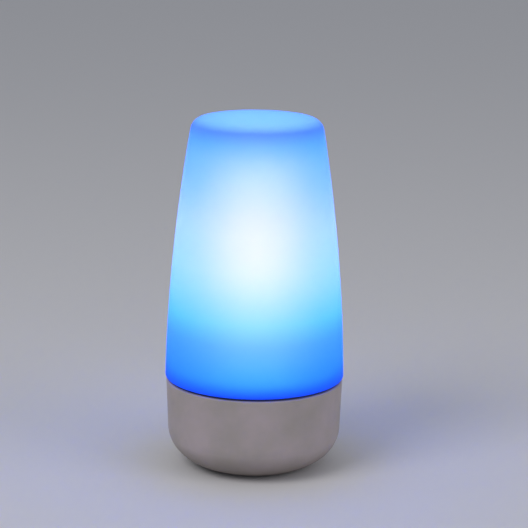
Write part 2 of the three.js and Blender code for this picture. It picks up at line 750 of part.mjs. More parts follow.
function makeBatteryHolder() {
  const trough = alongX(rod(11, -31, 31, MEDIUM)).translate(0, 0, CELL_HEIGHT);
  const rails = block([-35.7, -11, 12], [35.7, 11, 18]);
  const ends = [-1, 1].map((side) =>
    block([side > 0 ? 34 : -35.7, -9, 10], [side > 0 ? 35.7 : -34, 9, 25]),
  );
  const foot = block([-14, -7, PLATE_TOP + CLEAR], [14, 7, 10]);
  const bridge = block([-3, -13.5, PLATE_TOP + CLEAR], [3, 13.5, EAR_TOP]);
  const ears = HOLDER_SCREWS.map(([x, y]) => rod(3, PLATE_TOP + CLEAR, EAR_TOP).translate(x, y, 0));
  const cuts = [
    alongX(rod(CELL_RADIUS + 0.3, -33.9, 33.9, MEDIUM)).translate(0, 0, CELL_HEIGHT),
    block([-33.9, -9.3, 17], [33.9, 9.3, 30]),
    block([-32, -12, CELL_HEIGHT], [32, 12, 32]),
    block([-33.9, -4.6, 9], [-31, 4.6, 30]),
    block([31, -4.6, 9], [33.9, 4.6, 30]),
    ...HOLDER_SCREWS.map(([x, y]) => rod(1.35, 4, 9).translate(x, y, 0)),
  ];
  return piece("battery_holder", shaped([trough, rails, ...ends, foot, bridge, ...ears], cuts), CHIP_BLACK);
}

function makeHolderScrews() {
  return HOLDER_SCREWS.map(([x, y], i) => {
    const made = placed(screw(`holder_screw_${i + 1}`, ...HOLDER_SCREW), x, y, EAR_TOP + CLEAR);
    made.rotation.x = Math.PI;
    return made;
  });
}

// A leaf that presses on one end of the cell, with a tab for its lead.
function makeContact(name, side) {
  const leaf = block([33.1, -4, 11], [33.8, 4, 25.4]);
  const tab = block([33.1, -1.5, 24], [33.8, 1.5, 27.2]);
  const geometry = shaped([leaf, tab]);
  const made = piece(name, geometry, NICKEL);
  made.rotation.z = side > 0 ? 0 : Math.PI;
  return made;
}

const HEADER = { x: 14, y: -27 };
const LEAD_RADIUS = 0.8;

function makeBatteryLeads() {
  const red = [
    [33.45, -2.6, 26.4],
    [33.4, -6, 27],
    [30, -13, 27.2],
    [23, -21, 26.6],
    [17.6, -25.8, 26.4],
  ];
  const black = [
    [-33.45, -2.6, 26.4],
    [-33.2, -6, 27],
    [-28, -15, 27.2],
    [-14, -24, 26.8],
    [0, -27, 26.5],
    [10.4, -26.6, 26.4],
  ];
  return [
    piece("battery_lead_red", lead(red, LEAD_RADIUS, 12), RED_WIRE),
    piece("battery_lead_black", lead(black, LEAD_RADIUS, 18), BLACK_WIRE),
  ];
}

function makeBatteryConnector() {
  const { x, y } = HEADER;
  const header = block([x - 3.2, y - 2.4, 27.2], [x + 3.2, y + 3.6, BOARD_BOTTOM - SOLDER]);
  const plug = block([x - 2.8, y - 1.6, 24.4], [x + 2.8, y + 2.8, 26.9]);
  return [
    piece("battery_header", header, WHITE_PLASTIC),
    piece("battery_plug", plug, WHITE_PLASTIC),
  ];
}

// The LEDs' connector stands in the middle of the board, and its lead goes up the column's bore.
function makeLedConnector() {
  const lower = block([-4, -2.8, BOARD_TOP + SOLDER], [4, 2.8, 34]);
  const upper = block([-3.5, -2.2, 34.3], [3.5, 2.2, 38]);
  const route = [
    [0, 0, 38.3],
    [0.8, 0, 46],
    [-0.8, 0.4, 78],
    [0.8, -0.4, 120],
    [0, 0, COLUMN_TOP],
  ];
  return [
    piece("led_header", lower, WHITE_PLASTIC),
    piece("led_plug", upper, WHITE_PLASTIC),
    piece("led_lead", lead(route, 1.5, 14), BLACK_WIRE),
  ];
}

// ---- Assembly -------------------------------------------------------------------------------------------

const lamp = new THREE.Group();
lamp.add(
  makeShade(),
  makeRimGasket(),
  makeBaseShell(),
  makeBottomPlate(),
  makeFootRing(),
  ...makeBaseScrews(),
  makeTopDeck(),
  makeReflector(),
  ...downScrews("reflector_screw", REFLECTOR_SCREW_ANGLES, REFLECTOR_SCREW_CIRCLE, 51.9, REFLECTOR_SCREW),
  makeColumn(),
  ...downScrews("column_screw", COLUMN_SCREW_ANGLES, COLUMN_SCREW_CIRCLE, 49.7, COLUMN_SCREW),
  ...makeLedStrips(),
  makeCapBoard(),
  makeLightTube(),
  makeMainBoard(),
  ...makeBoardScrews(),
  makeRadioModule(),
  chip("power_inductor", 23, -8, 8, 8, 4.5, ALUMINIUM),
  capacitor("bulk_capacitor_1", 22, 3),
  capacitor("bulk_capacitor_2", 30, 3),
  chip("charge_chip", 6, 28, 5, 5, 1),
  chip("led_driver_chip", 4, -16, 7, 7, 1.2),
  makeUsbSocket(),
  makeSwitch(),
  makeSwitchPlunger(),
  makePowerButton(),
  makeLightPipe(),
  makePortCover(),
  makeBatteryCell(),
  makeBatteryHolder(),
  ...makeHolderScrews(),
  makeContact("battery_contact_plus", 1),
  makeContact("battery_contact_minus", -1),
  ...makeBatteryLeads(),
  ...makeBatteryConnector(),
  ...makeLedConnector(),
);

export default lamp;
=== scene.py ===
import math

import bmesh
import bpy
from mathutils import Matrix, Vector


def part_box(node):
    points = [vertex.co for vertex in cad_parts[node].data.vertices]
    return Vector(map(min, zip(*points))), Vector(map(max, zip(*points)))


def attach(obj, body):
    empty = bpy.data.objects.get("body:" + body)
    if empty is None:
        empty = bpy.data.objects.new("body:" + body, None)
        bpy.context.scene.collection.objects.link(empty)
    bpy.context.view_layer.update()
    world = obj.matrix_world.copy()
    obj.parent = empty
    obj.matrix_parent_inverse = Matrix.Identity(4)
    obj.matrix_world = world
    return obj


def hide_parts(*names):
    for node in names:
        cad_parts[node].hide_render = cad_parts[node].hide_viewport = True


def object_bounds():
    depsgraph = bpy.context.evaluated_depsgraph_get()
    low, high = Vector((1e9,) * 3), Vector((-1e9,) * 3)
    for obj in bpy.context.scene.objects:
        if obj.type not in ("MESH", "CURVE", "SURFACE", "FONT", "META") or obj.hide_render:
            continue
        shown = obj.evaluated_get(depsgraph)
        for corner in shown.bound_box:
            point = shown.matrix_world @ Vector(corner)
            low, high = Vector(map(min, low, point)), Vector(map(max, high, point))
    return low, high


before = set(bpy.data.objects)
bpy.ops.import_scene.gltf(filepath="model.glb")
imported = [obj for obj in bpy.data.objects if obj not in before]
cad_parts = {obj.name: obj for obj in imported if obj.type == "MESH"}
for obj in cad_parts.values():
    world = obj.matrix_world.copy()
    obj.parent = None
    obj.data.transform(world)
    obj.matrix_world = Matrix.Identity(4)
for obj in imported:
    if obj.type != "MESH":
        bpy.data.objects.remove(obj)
cad_box = [list(corner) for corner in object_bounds()]
MM = 0.001


# ---- Camera ----------------------------------------------------------------------------------------------
# A long lens a little over a metre in front of the lamp and some way above it. It aims at the middle of the
# lamp, then turns a fraction of a degree, and leans, so that the lamp stands slightly off centre and tilted.
CAMERA_DISTANCE = 1.111
CAMERA_RISE = math.radians(13.69)
CAMERA_LENS = 134.4
AIM_RIGHT = math.radians(0.241)
AIM_UP = math.radians(0.789)
CAMERA_LEAN = math.radians(0.7)

lamp_middle = Vector((0, 0, (cad_box[0][2] + cad_box[1][2]) / 2))
camera_place = lamp_middle + CAMERA_DISTANCE * Vector((0, -math.cos(CAMERA_RISE), math.sin(CAMERA_RISE)))
camera_data = bpy.data.cameras.new("camera")
camera_data.lens = CAMERA_LENS
camera_data.sensor_width = 36
camera = bpy.data.objects.new("camera", camera_data)
straight_aim = (lamp_middle - camera_place).to_track_quat("-Z", "Y").to_matrix()
turned_aim = straight_aim @ Matrix.Rotation(-AIM_RIGHT, 3, "Y") @ Matrix.Rotation(AIM_UP, 3, "X")
leaned_aim = turned_aim @ Matrix.Rotation(CAMERA_LEAN, 3, "Z")
camera.matrix_world = Matrix.Translation(camera_place) @ leaned_aim.to_4x4()
bpy.context.scene.collection.objects.link(camera)
bpy.context.scene.camera = camera


# ---- Studio ----------------------------------------------------------------------------------------------
# A pale paper floor that goes on to a pale horizon, a large soft light high on the left, a weaker one on the
# right, and a dim even sky.
FLOOR_SIZE = 12
FLOOR_COLOUR = (0.78, 0.78, 0.8, 1)
SHARP_EDGE = math.radians(35)


def make_object(name, shape):
    """Turns a bmesh into an object in the scene, shaded smooth except across sharp edges."""
    for face in shape.faces:
        face.smooth = True
    for edge in shape.edges:
        edge.smooth = edge.calc_face_angle(0) < SHARP_EDGE
    mesh = bpy.data.meshes.new(name)
    shape.to_mesh(mesh)
    shape.free()
    made = bpy.data.objects.new(name, mesh)
    bpy.context.scene.collection.objects.link(made)
    return made


def soft_light(name, place, size, power, colour):
    data = bpy.data.lights.new(name, "AREA")
    data.shape = "DISK"
    data.size = size
    data.energy = power
    data.color = colour
    light = bpy.data.objects.new(name, data)
    light.location = place
    light.rotation_euler = (lamp_middle - Vector(place)).to_track_quat("-Z", "Y").to_euler()
    bpy.context.scene.collection.objects.link(light)


floor_shape = bmesh.new()
bmesh.ops.create_grid(floor_shape, x_segments=1, y_segments=1, size=FLOOR_SIZE / 2)
floor = make_object("floor", floor_shape)
floor_material = bpy.data.materials.new("floor_paper")
floor_material.use_nodes = True
floor_shader = floor_material.node_tree.nodes["Principled BSDF"]
floor_shader.inputs["Base Color"].default_value = FLOOR_COLOUR
floor_shader.inputs["Roughness"].default_value = 0.8
floor.data.materials.append(floor_material)

soft_light("key_light", (-0.9, -0.9, 1.3), 1.0, 9, (1, 0.97, 0.95))
soft_light("fill_light", (1.2, -0.7, 0.7), 1.0, 3.5, (1, 0.95, 0.96))
world = bpy.data.worlds.new("sky")
world.use_nodes = True
world.node_tree.nodes["Background"].inputs["Color"].default_value = (0.9, 0.93, 1, 1)
world.node_tree.nodes["Background"].inputs["Strength"].default_value = 0.35
bpy.context.scene.world = world
bpy.context.scene.view_settings.view_transform = "Standard"


# ---- Foot ring -------------------------------------------------------------------------------------------
# A flat ring of pale grey silicone, moulded with three anti-slip grooves underneath. It is glued into a
# channel in the bottom plate, over the screws, and the lamp stands on it.
FOOT_INNER = 18.5
FOOT_OUTER = 27.3
FOOT_TOP = 1.6
FOOT_GROOVES = (20.7, 22.9, 25.1)
GROOVE_DEPTH = 0.35


class Signal:
    """An output socket in a material. Arithmetic on it adds Math nodes."""

    def __init__(self, socket):
        self.socket = socket

    def node(self, kind, inputs, output=0, **settings):
        """Adds a node: its settings first, then a value or a link in each of its sockets."""
        tree = self.socket.id_data
        made = tree.nodes.new("ShaderNode" + kind)
        for name, value in settings.items():
            if name == "stops":
                set_stops(made.color_ramp.elements, value)
            else:
                setattr(made, name, value)
        for name, value in inputs.items():
            if isinstance(value, Signal):
                tree.links.new(value.socket, made.inputs[name])
            else:
                made.inputs[name].default_value = value
        return Signal(made.outputs[output])

    def math(self, operation, first, second):
        return self.node("Math", {0: first, 1: second}, operation=operation)

    def __add__(self, other):
        return self.math("ADD", self, other)

    def __radd__(self, other):
        return self.math("ADD", other, self)

    def __sub__(self, other):
        return self.math("SUBTRACT", self, other)

    def __rsub__(self, other):
        return self.math("SUBTRACT", other, self)

    def __mul__(self, other):
        return self.math("MULTIPLY", self, other)

    def __rmul__(self, other):
        return self.math("MULTIPLY", other, self)

    def __truediv__(self, other):
        return self.math("DIVIDE", self, other)

    def __gt__(self, other):
        return self.math("GREATER_THAN", self, other)

    def __lt__(self, other):
        return self.math("LESS_THAN", self, other)

    def __abs__(self):
        return self.math("ABSOLUTE", self, 0)


def set_stops(elements, stops):
    """Puts a colour ramp's stops in place: pairs of a position and a colour."""
    for place, _ in stops[2:]:
        elements.new(place)
    for element, (place, colour) in zip(elements, stops):
        element.position = place
        element.color = (*colour, 1)


def new_material(name, **settings):
    """A material, its shader with plain settings on its own sockets, and the object coordinates."""
    material = bpy.data.materials.new(name)
    material.use_nodes = True
    tree = material.node_tree
    shader = tree.nodes["Principled BSDF"]
    for socket, value in settings.items():
        shader.inputs[socket.replace("_", " ")].default_value = value
    return material, shader, Signal(tree.nodes.new("ShaderNodeTexCoord").outputs["Object"])


def feed(shader, socket, signal):
    shader.id_data.links.new(signal.socket, shader.inputs[socket])


def noise(place, size, detail=3, stretch=(1, 1, 1)):
    """Noise from 0 to 1 with lumps of a size in millimetres, drawn out along an axis by stretch."""
    spread = place.node("Mapping", {"Vector": place, "Scale": stretch})
    return place.node("TexNoise", {"Vector": spread, "Scale": 1 / (size * MM), "Detail": detail})


def blend(mask, low, high):
    """A colour between two, each plain or a signal, by a mask from 0 to 1."""
    ends = [end if isinstance(end, Signal) else (*end, 1) for end in (low, high)]
    return mask.node("Mix", {0: mask, 6: ends[0], 7: ends[1]}, output=2, data_type="RGBA")


def moulded(name, pale, deep, patch, grain, depth, rough, contrast=2.4, **settings):
    """A moulded finish: two close colours in soft patches, an uneven gloss and a fine surface grain."""
    material, shader, place = new_material(name, **settings)
    patches = blend((noise(place, patch) - 0.5) * contrast + 0.5, deep, pale)
    feed(shader, "Base Color", patches)
    feed(shader, "Roughness", noise(place, patch / 5) * (rough[1] - rough[0]) * 1.6 + rough[0])
    height = noise(place, grain, detail=2)
    feed(shader, "Normal", height.node("Bump", {"Height": height, "Distance": depth * MM, "Strength": 0.6}))
    return material, shader, place, patches


def softened(outline, reach, ring=True):
    """An outline with its corners rounded over a reach on each side. A ring's last point joins its first."""
    soft = []
    for i, corner in enumerate(outline):
        if not ring and i in (0, len(outline) - 1):
            soft.append(corner)
            continue
        here = Vector(corner)
        ways = [Vector(outline[i - 1]) - here, Vector(outline[(i + 1) % len(outline)]) - here]
        start, end = [here + way * min(reach / way.length, 0.45) for way in ways]
        for share in (0, 1 / 3, 2 / 3, 1):
            point = start.lerp(here, share).lerp(here.lerp(end, share), share)
            soft.append(tuple(point))
    return soft


def turn(outline, steps=96):
    """Spins an outline of (radius, height) points round Z. It is a ring, or it runs from axis to axis."""
    shape = bmesh.new()
    points = [shape.verts.new((radius * MM, 0, height * MM)) for radius, height in outline]
    lines = [shape.edges.new(pair) for pair in zip(points, points[1:])]
    if outline[0][0] > 0:
        lines.append(shape.edges.new((points[-1], points[0])))
    bmesh.ops.spin(
        shape, geom=points + lines, cent=(0, 0, 0), axis=(0, 0, 1), dvec=(0, 0, 0),
        angle=2 * math.pi, steps=steps, use_merge=True, use_duplicate=False,
    )
    bmesh.ops.remove_doubles(shape, verts=shape.verts, dist=0.001 * MM)
    bmesh.ops.recalc_face_normals(shape, faces=shape.faces)
    return shape


def disc(radius, low, high, ease, steps=96):
    """A round plate or pin along Z, its edges eased."""
    return turn(softened([(0, low), (radius, low), (radius, high), (0, high)], ease, ring=False), steps)


def fit(name, shape, material, slot, body, *nodes):
    """Makes a finished piece, rides it on its body and lets it stand for its CAD nodes."""
    made = make_object(name, shape)
    made.data.materials.append(material)
    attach(made, body)
    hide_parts(*nodes)
    return made


foot_underside = [(FOOT_INNER, 0)]
for groove in FOOT_GROOVES:
    foot_underside += [(groove - 0.4, 0), (groove, GROOVE_DEPTH), (groove + 0.4, 0)]
foot_outline = [*foot_underside, (FOOT_OUTER, 0), (FOOT_OUTER, FOOT_TOP), (FOOT_INNER, FOOT_TOP)]
pale_silicone, *_ = moulded(
    "pale_silicone", pale=(0.4, 0.37, 0.36), deep=(0.33, 0.3, 0.295), patch=6, grain=0.25, depth=0.02,
    rough=(0.7, 0.9), Specular_IOR_Level=0.35,
)
fit("foot_ring_skin", turn(softened(foot_outline, 0.25)), pale_silicone, "pale_rubber", "base", "foot_ring")


# ---- Bottom plate ----------------------------------------------------------------------------------------
# The round lid of the base, moulded in the same plastic as the shell. It has a channel for the foot ring,
# four pockets for the screws that pull the lamp together, and two blind holes for the holder's screws.
PLATE_RADIUS = 28.5
PLATE_BOTTOM = 0.9
PLATE_TOP = 5
PLATE_STEP = 25.2
CHANNEL_TOP = 1.9
CLEARANCE = 0.3
PILLARS = [(16, 15), (-16, 15), (-16, -15), (16, -15)]
POCKET_RADIUS = 2.9
POCKET_TOP = 3.7
SCREW_HOLE_RADIUS = 1.6
PILOT_RADIUS = 1.2
# Heights between which painted shade darkens the base plastic towards its bottom.
UNDERSIDE_SHADE_FROM, UNDERSIDE_SHADE_TO = 2, 17
HOLDER_SCREWS = [(0, 13.5), (0, -13.5)]
# The colour of the painted shade at the bottom of the base.
PAINTED_UNDERSIDE_SHADE = (0.2, 0.168, 0.155)


def boolean(shape, tools, operation):
    """A bmesh with others cut from it, or joined to it, as solids."""
    body = make_object("body", shape)
    cutters = [make_object("tool", tool) for tool in tools]
    for cutter in cutters:
        step = body.modifiers.new("step", "BOOLEAN")
        step.operation = operation
        step.object = cutter
        step.use_hole_tolerant = True
    result = bmesh.new()
    result.from_object(body, bpy.context.evaluated_depsgraph_get())
    for made in (body, *cutters):
        bpy.data.objects.remove(made)
    bmesh.ops.dissolve_degenerate(result, dist=0.001 * MM, edges=result.edges)
    bmesh.ops.holes_fill(result, edges=[edge for edge in result.edges if edge.is_boundary])
    return result


def put(shape, x=0, y=0, z=0, turned=0):
    """Turns a bmesh about Z by degrees, then moves it, in millimetres."""
    move = Matrix.Translation((x * MM, y * MM, z * MM)) @ Matrix.Rotation(math.radians(turned), 4, "Z")
    bmesh.ops.transform(shape, matrix=move, verts=shape.verts)
    return shape


def rod(radius, low, high, flare=0, steps=48):
    """A round bar along Z. A flare widens its upper end, for a hole with an eased mouth."""
    return turn([(0, low), (radius, low), (radius, high - flare), (radius + flare, high), (0, high)], steps)


plate_outline = [
    (0, PLATE_BOTTOM + 0.3), (FOOT_INNER - 3, PLATE_BOTTOM + 0.3), (FOOT_INNER - 2.6, PLATE_BOTTOM),
    (FOOT_INNER - CLEARANCE, PLATE_BOTTOM), (FOOT_INNER - CLEARANCE, CHANNEL_TOP),
    (FOOT_OUTER + CLEARANCE, CHANNEL_TOP), (FOOT_OUTER + CLEARANCE, PLATE_BOTTOM),
    (PLATE_RADIUS, PLATE_BOTTOM), (PLATE_RADIUS, PLATE_TOP - 2), (PLATE_STEP, PLATE_TOP - 2),
    (PLATE_STEP, PLATE_TOP), (0, PLATE_TOP),
]
plate_holes = [put(rod(POCKET_RADIUS, 0, POCKET_TOP), x, y) for x, y in PILLARS]
plate_holes += [put(rod(SCREW_HOLE_RADIUS, 3, 6), x, y) for x, y in PILLARS]
plate_holes += [put(rod(PILOT_RADIUS, 2.2, 6), x, y) for x, y in HOLDER_SCREWS]
plate_shape = boolean(turn(softened(plate_outline, 0.2, ring=False)), plate_holes, "DIFFERENCE")
warm_plastic, warm_shader, place, patches = moulded(
    "warm_grey_plastic", pale=(0.47, 0.405, 0.41), deep=(0.37, 0.335, 0.305), patch=24, grain=0.3,
    depth=0.012, rough=(0.42, 0.58), Coat_Weight=0.08, Coat_Roughness=0.35,
)
# Painted shade: the base plastic turns a darker brownish colour from 17 mm down to 2 mm above the floor.
height = place.node("SeparateXYZ", {"Vector": place}, output="Z")
underside_shade_mask = height.node("MapRange", {"Value": height, "From Min": UNDERSIDE_SHADE_FROM * MM, "From Max": UNDERSIDE_SHADE_TO * MM})
feed(warm_shader, "Base Color", blend(underside_shade_mask, PAINTED_UNDERSIDE_SHADE, patches))
fit("bottom_plate_skin", plate_shape, warm_plastic, "shell_plastic", "base", "bottom_plate")


# ---- Screws ----------------------------------------------------------------------------------------------
# Zinc-plated steel pan-head screws with a cross recess and a rolled thread. These four go up through the
# bottom plate into the deck's pillars and pull the base together. The smaller ones are of the same kind.
# A screw's size is its head's radius and height, then its shank's radius and length.
THREAD_PITCH = 0.8
THREAD_DEPTH = 0.18
BASE_SCREW = (2.5, 1.5, 1.2, 12)
BASE_SCREW_SEAT = 3.6


def round_edges(shape, edges, reach, segments=3):
    bmesh.ops.bevel(
        shape, geom=edges, offset=reach * MM, segments=segments, profile=0.5, affect="EDGES", material=-1,
    )


def slab(low, high, ease=0.2):
    """A block from its lowest corner to its highest, its edges eased."""
    low, high = Vector(low) * MM, Vector(high) * MM
    shape = bmesh.new()
    spread = Matrix.Diagonal((*(high - low), 1))
    bmesh.ops.create_cube(shape, size=1, matrix=Matrix.Translation((low + high) / 2) @ spread)
    if ease:
        round_edges(shape, shape.edges, ease)
    return shape


def screw(head_radius, head_height, shank_radius, length):
    """A screw that points up, its head hanging below z 0."""
    head = [
        (0, -head_height), (head_radius * 0.7, -head_height), (head_radius, -head_height * 0.5),
        (head_radius, 0), (shank_radius, 0),
    ]
    thread = []
    for step in range(int((length - 2.4 * shank_radius) / THREAD_PITCH)):
        root = 0.5 + step * THREAD_PITCH
        thread += [(shank_radius - THREAD_DEPTH, root), (shank_radius, root + THREAD_PITCH / 2)]
    point = [(shank_radius - THREAD_DEPTH, length - 1.5 * shank_radius), (0, length)]
    shape = turn([*softened(head, 0.3, ring=False), *thread, *point], 32)
    reach, half = head_radius * 0.55, head_radius * 0.13
    floor_of_cross = -head_height * 0.45
    arms = [
        slab((-x, -y, -2 * head_height), (x, y, floor_of_cross), 0)
        for x, y in ((reach, half), (half, reach))
    ]
    return boolean(shape, arms, "DIFFERENCE")


def brushed(name, pale, deep, size, stretch, rough, **settings):
    """Bare metal: fine scratches drawn out one way, in its colour, its gloss and its surface."""
    material, shader, place = new_material(name, Metallic=1, **settings)
    scratches = noise(place, size, detail=4, stretch=stretch)
    feed(shader, "Base Color", blend((scratches - 0.5) * 2 + 0.5, deep, pale))
    feed(shader, "Roughness", scratches * (rough[1] - rough[0]) + rough[0])
    bump = scratches.node("Bump", {"Height": scratches, "Distance": 0.01 * MM, "Strength": 0.5})
    feed(shader, "Normal", bump)
    return material


zinc = brushed(
    "zinc_plated_steel", pale=(0.56, 0.57, 0.58), deep=(0.36, 0.37, 0.39), size=0.5, stretch=(1, 1, 2.5),
    rough=(0.24, 0.5),
)


def drive(name, places, seat, size, twist=0, down=False):
    """Zinc-plated screws at places on the plan, their heads' undersides at the height of the seat."""
    for number, (x, y) in enumerate(places, 1):
        driven = screw(*size)
        if down:
            bmesh.ops.rotate(driven, matrix=Matrix.Rotation(math.pi, 3, "X"), verts=driven.verts)
        put(driven, x, y, seat, twist * number)
        fit(f"{name}_{number}_skin", driven, zinc, "steel", "base", f"{name}_{number}")


drive("base_screw", PILLARS, BASE_SCREW_SEAT, BASE_SCREW, twist=20)


# ---- Base shell ------------------------------------------------------------------------------------------
# The rounded bowl of the base, injection-moulded in warm grey plastic with a fine spark-eroded grain. Its rim
# carries the deck on a ledge. At the back it has the cover's recess, the socket's slot and two round holes.
SHELL_RADIUS = 50
SIDE_RADIUS = 48.95
BOWL_HEIGHT = 22.2
BOWL_REACH = 26.8
SHELL_WALL = 2.2
RIM = 49.9
LEDGE = 44.6
LEDGE_RADIUS = 47.4
FLOOR_TOP = 5.5
PORT_HEIGHT = 32.4
RECESS = (13.4, 9, 1.5)
BUTTON_ANGLE = 66
PIPE_ANGLE = 108
BUTTON_RADIUS = 4.5
PIPE_HOLE_RADIUS = 1.4
SOCKET_SLOT = (9.8, 4.2, 2)
SOCKET_PAD = (19, 11.8, 1)
BUTTON_PAD_RADIUS = 7.5
HINGE_Y, HINGE_Z = 48.35, PORT_HEIGHT + 4.2
HINGE_GROOVE = 1.6


def arc(centre, reach, start, end, steps):
    """Points of an elliptical arc in (radius, height), its angles in degrees."""
    angles = [math.radians(start + (end - start) * i / steps) for i in range(steps + 1)]
    return [(centre[0] + reach[0] * math.cos(a), centre[1] + reach[1] * math.sin(a)) for a in angles]


def pad(width, height, corner, near, far, ease=0):
    """A rounded rectangle level with the socket, as thick as from one distance behind the axis to another."""
    shape = slab((-width / 2, near, -height / 2), (width / 2, far, height / 2), 0)
    upright = [e for e in shape.edges if abs(e.verts[0].co.y - e.verts[1].co.y) > (far - near) * MM / 2]
    round_edges(shape, upright, corner, segments=8)
    if ease:
        ends = [face for face in shape.faces if abs(face.normal.y) > 0.9]
        rims = list({edge for face in ends for edge in face.edges})
        round_edges(shape, rims, ease)
    return put(shape, z=PORT_HEIGHT)


def outward(shape, angle):
    """Lays a bmesh made along Z so that it points out from the lamp's axis, level with the socket."""
    lay = Matrix.Rotation(math.radians(angle), 4, "Z") @ Matrix.Rotation(math.radians(90), 4, "Y")
    bmesh.ops.transform(shape, matrix=Matrix.Translation((0, 0, PORT_HEIGHT * MM)) @ lay, verts=shape.verts)
    return shape


def along_x(shape, y=0, z=0):
    """Lays a bmesh made along Z so that it runs along X."""
    lay = Matrix.Translation((0, y * MM, z * MM)) @ Matrix.Rotation(math.radians(90), 4, "Y")
    bmesh.ops.transform(shape, matrix=lay, verts=shape.verts)
    return shape


bowl_centre = SIDE_RADIUS - BOWL_REACH
bowl_start = -math.degrees(math.asin(1 - PLATE_BOTTOM / BOWL_HEIGHT))
floor_end = -math.degrees(math.acos((PLATE_STEP + CLEARANCE - bowl_centre) / (BOWL_REACH - SHELL_WALL)))
outside = [
    (PLATE_RADIUS + CLEARANCE, PLATE_BOTTOM),
    *arc((bowl_centre, BOWL_HEIGHT), (BOWL_REACH, BOWL_HEIGHT), bowl_start, 0, 40),
]
wall_bottom, wall_top = Vector((SIDE_RADIUS, BOWL_HEIGHT)), Vector((SHELL_RADIUS, RIM - 0.9))
outside += [tuple(wall_bottom.lerp(wall_top, share)) for share in (0.15, 0.4, 0.65, 0.9)]
rim_edge = arc((SHELL_RADIUS - 0.9, RIM - 0.9), (0.9, 0.9), 0, 90, 8)
inside = softened([
    (LEDGE_RADIUS, RIM), (LEDGE_RADIUS, LEDGE), (LEDGE_RADIUS - 1.8, LEDGE),
    (LEDGE_RADIUS - 1.8, LEDGE - 1.2), (SIDE_RADIUS - 1.65, LEDGE - 3),
], 0.15, ring=False)
inside += arc(
    (bowl_centre, BOWL_HEIGHT), (BOWL_REACH - SHELL_WALL, BOWL_HEIGHT - FLOOR_TOP), 0, floor_end, 20,
)
inside += [
    (PLATE_STEP + CLEARANCE, PLATE_TOP - 1.7), (PLATE_RADIUS + CLEARANCE, PLATE_TOP - 1.7),
]
shell_body = boolean(
    turn([*outside, *rim_edge, *inside], 160),
    [
        pad(*SOCKET_PAD, 46.3, 47.9),
        outward(rod(BUTTON_PAD_RADIUS, 45.2, 47.9), BUTTON_ANGLE),
    ],
    "UNION",
)
shell_shape = boolean(
    shell_body,
    [
        pad(*RECESS, 47.5, 53),
        along_x(rod(HINGE_GROOVE, -RECESS[0] / 2, RECESS[0] / 2), y=HINGE_Y, z=HINGE_Z),
        pad(*SOCKET_SLOT, 43, 48),
        outward(rod(BUTTON_RADIUS + CLEARANCE, 43, 49.7, flare=0.5), BUTTON_ANGLE),
        outward(rod(PIPE_HOLE_RADIUS, 43, 49.6, flare=0.3, steps=24), PIPE_ANGLE),
    ],
    "DIFFERENCE",
)
fit("base_shell_skin", shell_shape, warm_plastic, "shell_plastic", "base", "base_shell")


# ---- Battery ---------------------------------------------------------------------------------------------
# A wrapped lithium cell that lies in a black holder, with a nickel leaf at each end. The holder is screwed to
# the bottom plate, and two silicone leads run from the leaves to a plug under the board.
CELL_RADIUS = 9.2
CELL_LENGTH = 65.2
CELL_HEIGHT = 18.2
CELL_STRIPE = 3.5
LEAD_RADIUS = 0.8
RED_ROUTE = [(33.45, -2.6, 26.4), (33.4, -6, 27), (30, -13, 27.2), (23, -21, 26.6), (17.6, -25.8, 26.4)]
BLACK_ROUTE = [
    (-33.45, -2.6, 26.4), (-33.2, -6, 27), (-28, -15, 27.2), (-14, -24, 26.8), (0, -27, 26.5),
    (10.4, -26.6, 26.4),
]
CAVITY_RADIUS = CELL_RADIUS + CLEARANCE
CAVITY_HALF = 33.9
EAR_TOP = 7.8
HOLDER_SCREW = (2.2, 1.4, 1, 5.2)


def box_of(node):
    """A CAD node's lowest and highest corners in millimetres."""
    return [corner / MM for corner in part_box(node)]


def lead(route, radius):
    """A round lead along a smooth curve through points, closed at its ends."""
    curve = bpy.data.curves.new("lead", "CURVE")
    curve.dimensions = "3D"
    curve.bevel_depth = radius * MM
    curve.bevel_resolution = 4
    curve.use_fill_caps = True
    spline = curve.splines.new("BEZIER")
    spline.bezier_points.add(len(route) - 1)
    for point, place in zip(spline.bezier_points, route):
        point.co = Vector(place) * MM
        point.handle_left_type = point.handle_right_type = "AUTO"
    guide = bpy.data.objects.new("lead", curve)
    bpy.context.scene.collection.objects.link(guide)
    shape = bmesh.new()
    shape.from_mesh(guide.to_mesh())
    bpy.data.objects.remove(guide)
    bmesh.ops.remove_doubles(shape, verts=shape.verts, dist=0.001 * MM)
    bmesh.ops.recalc_face_normals(shape, faces=shape.faces)
    return shape


half = CELL_LENGTH / 2
cell_outline = softened([
    (0, -half), (8.2, -half), (8.6, -half + 0.3), (CELL_RADIUS, -half + 0.6), (CELL_RADIUS, half - 3.2),
    (CELL_RADIUS - 0.5, half - 2.7), (CELL_RADIUS - 0.5, half - 2.2), (CELL_RADIUS, half - 1.7),
    (8.4, half - 1), (3.4, half - 1), (3.2, half), (0, half),
], 0.25, ring=False)
cell_wrap, wrap_shader, place, patches = moulded(
    "cell_wrap", pale=(0.05, 0.26, 0.5), deep=(0.04, 0.2, 0.42), patch=12, grain=1.5, depth=0.02,
    rough=(0.22, 0.38), contrast=1, Coat_Weight=0.3, Coat_Roughness=0.15,
)
along = place.node("SeparateXYZ", {"Vector": place}, output="X")
wrapped = (abs(along) > (half - 1.1) * MM) * 0.9
stripe = (abs(along - 22 * MM) < CELL_STRIPE * MM) * 0.8
striped = blend(stripe, patches, (0.75, 0.77, 0.78))
feed(wrap_shader, "Base Color", blend(wrapped, striped, (0.55, 0.54, 0.5)))
cell_shape = along_x(turn(cell_outline, 64), z=CELL_HEIGHT)
fit("battery_cell_skin", cell_shape, cell_wrap, "cell_wrap", "base", "battery_cell")

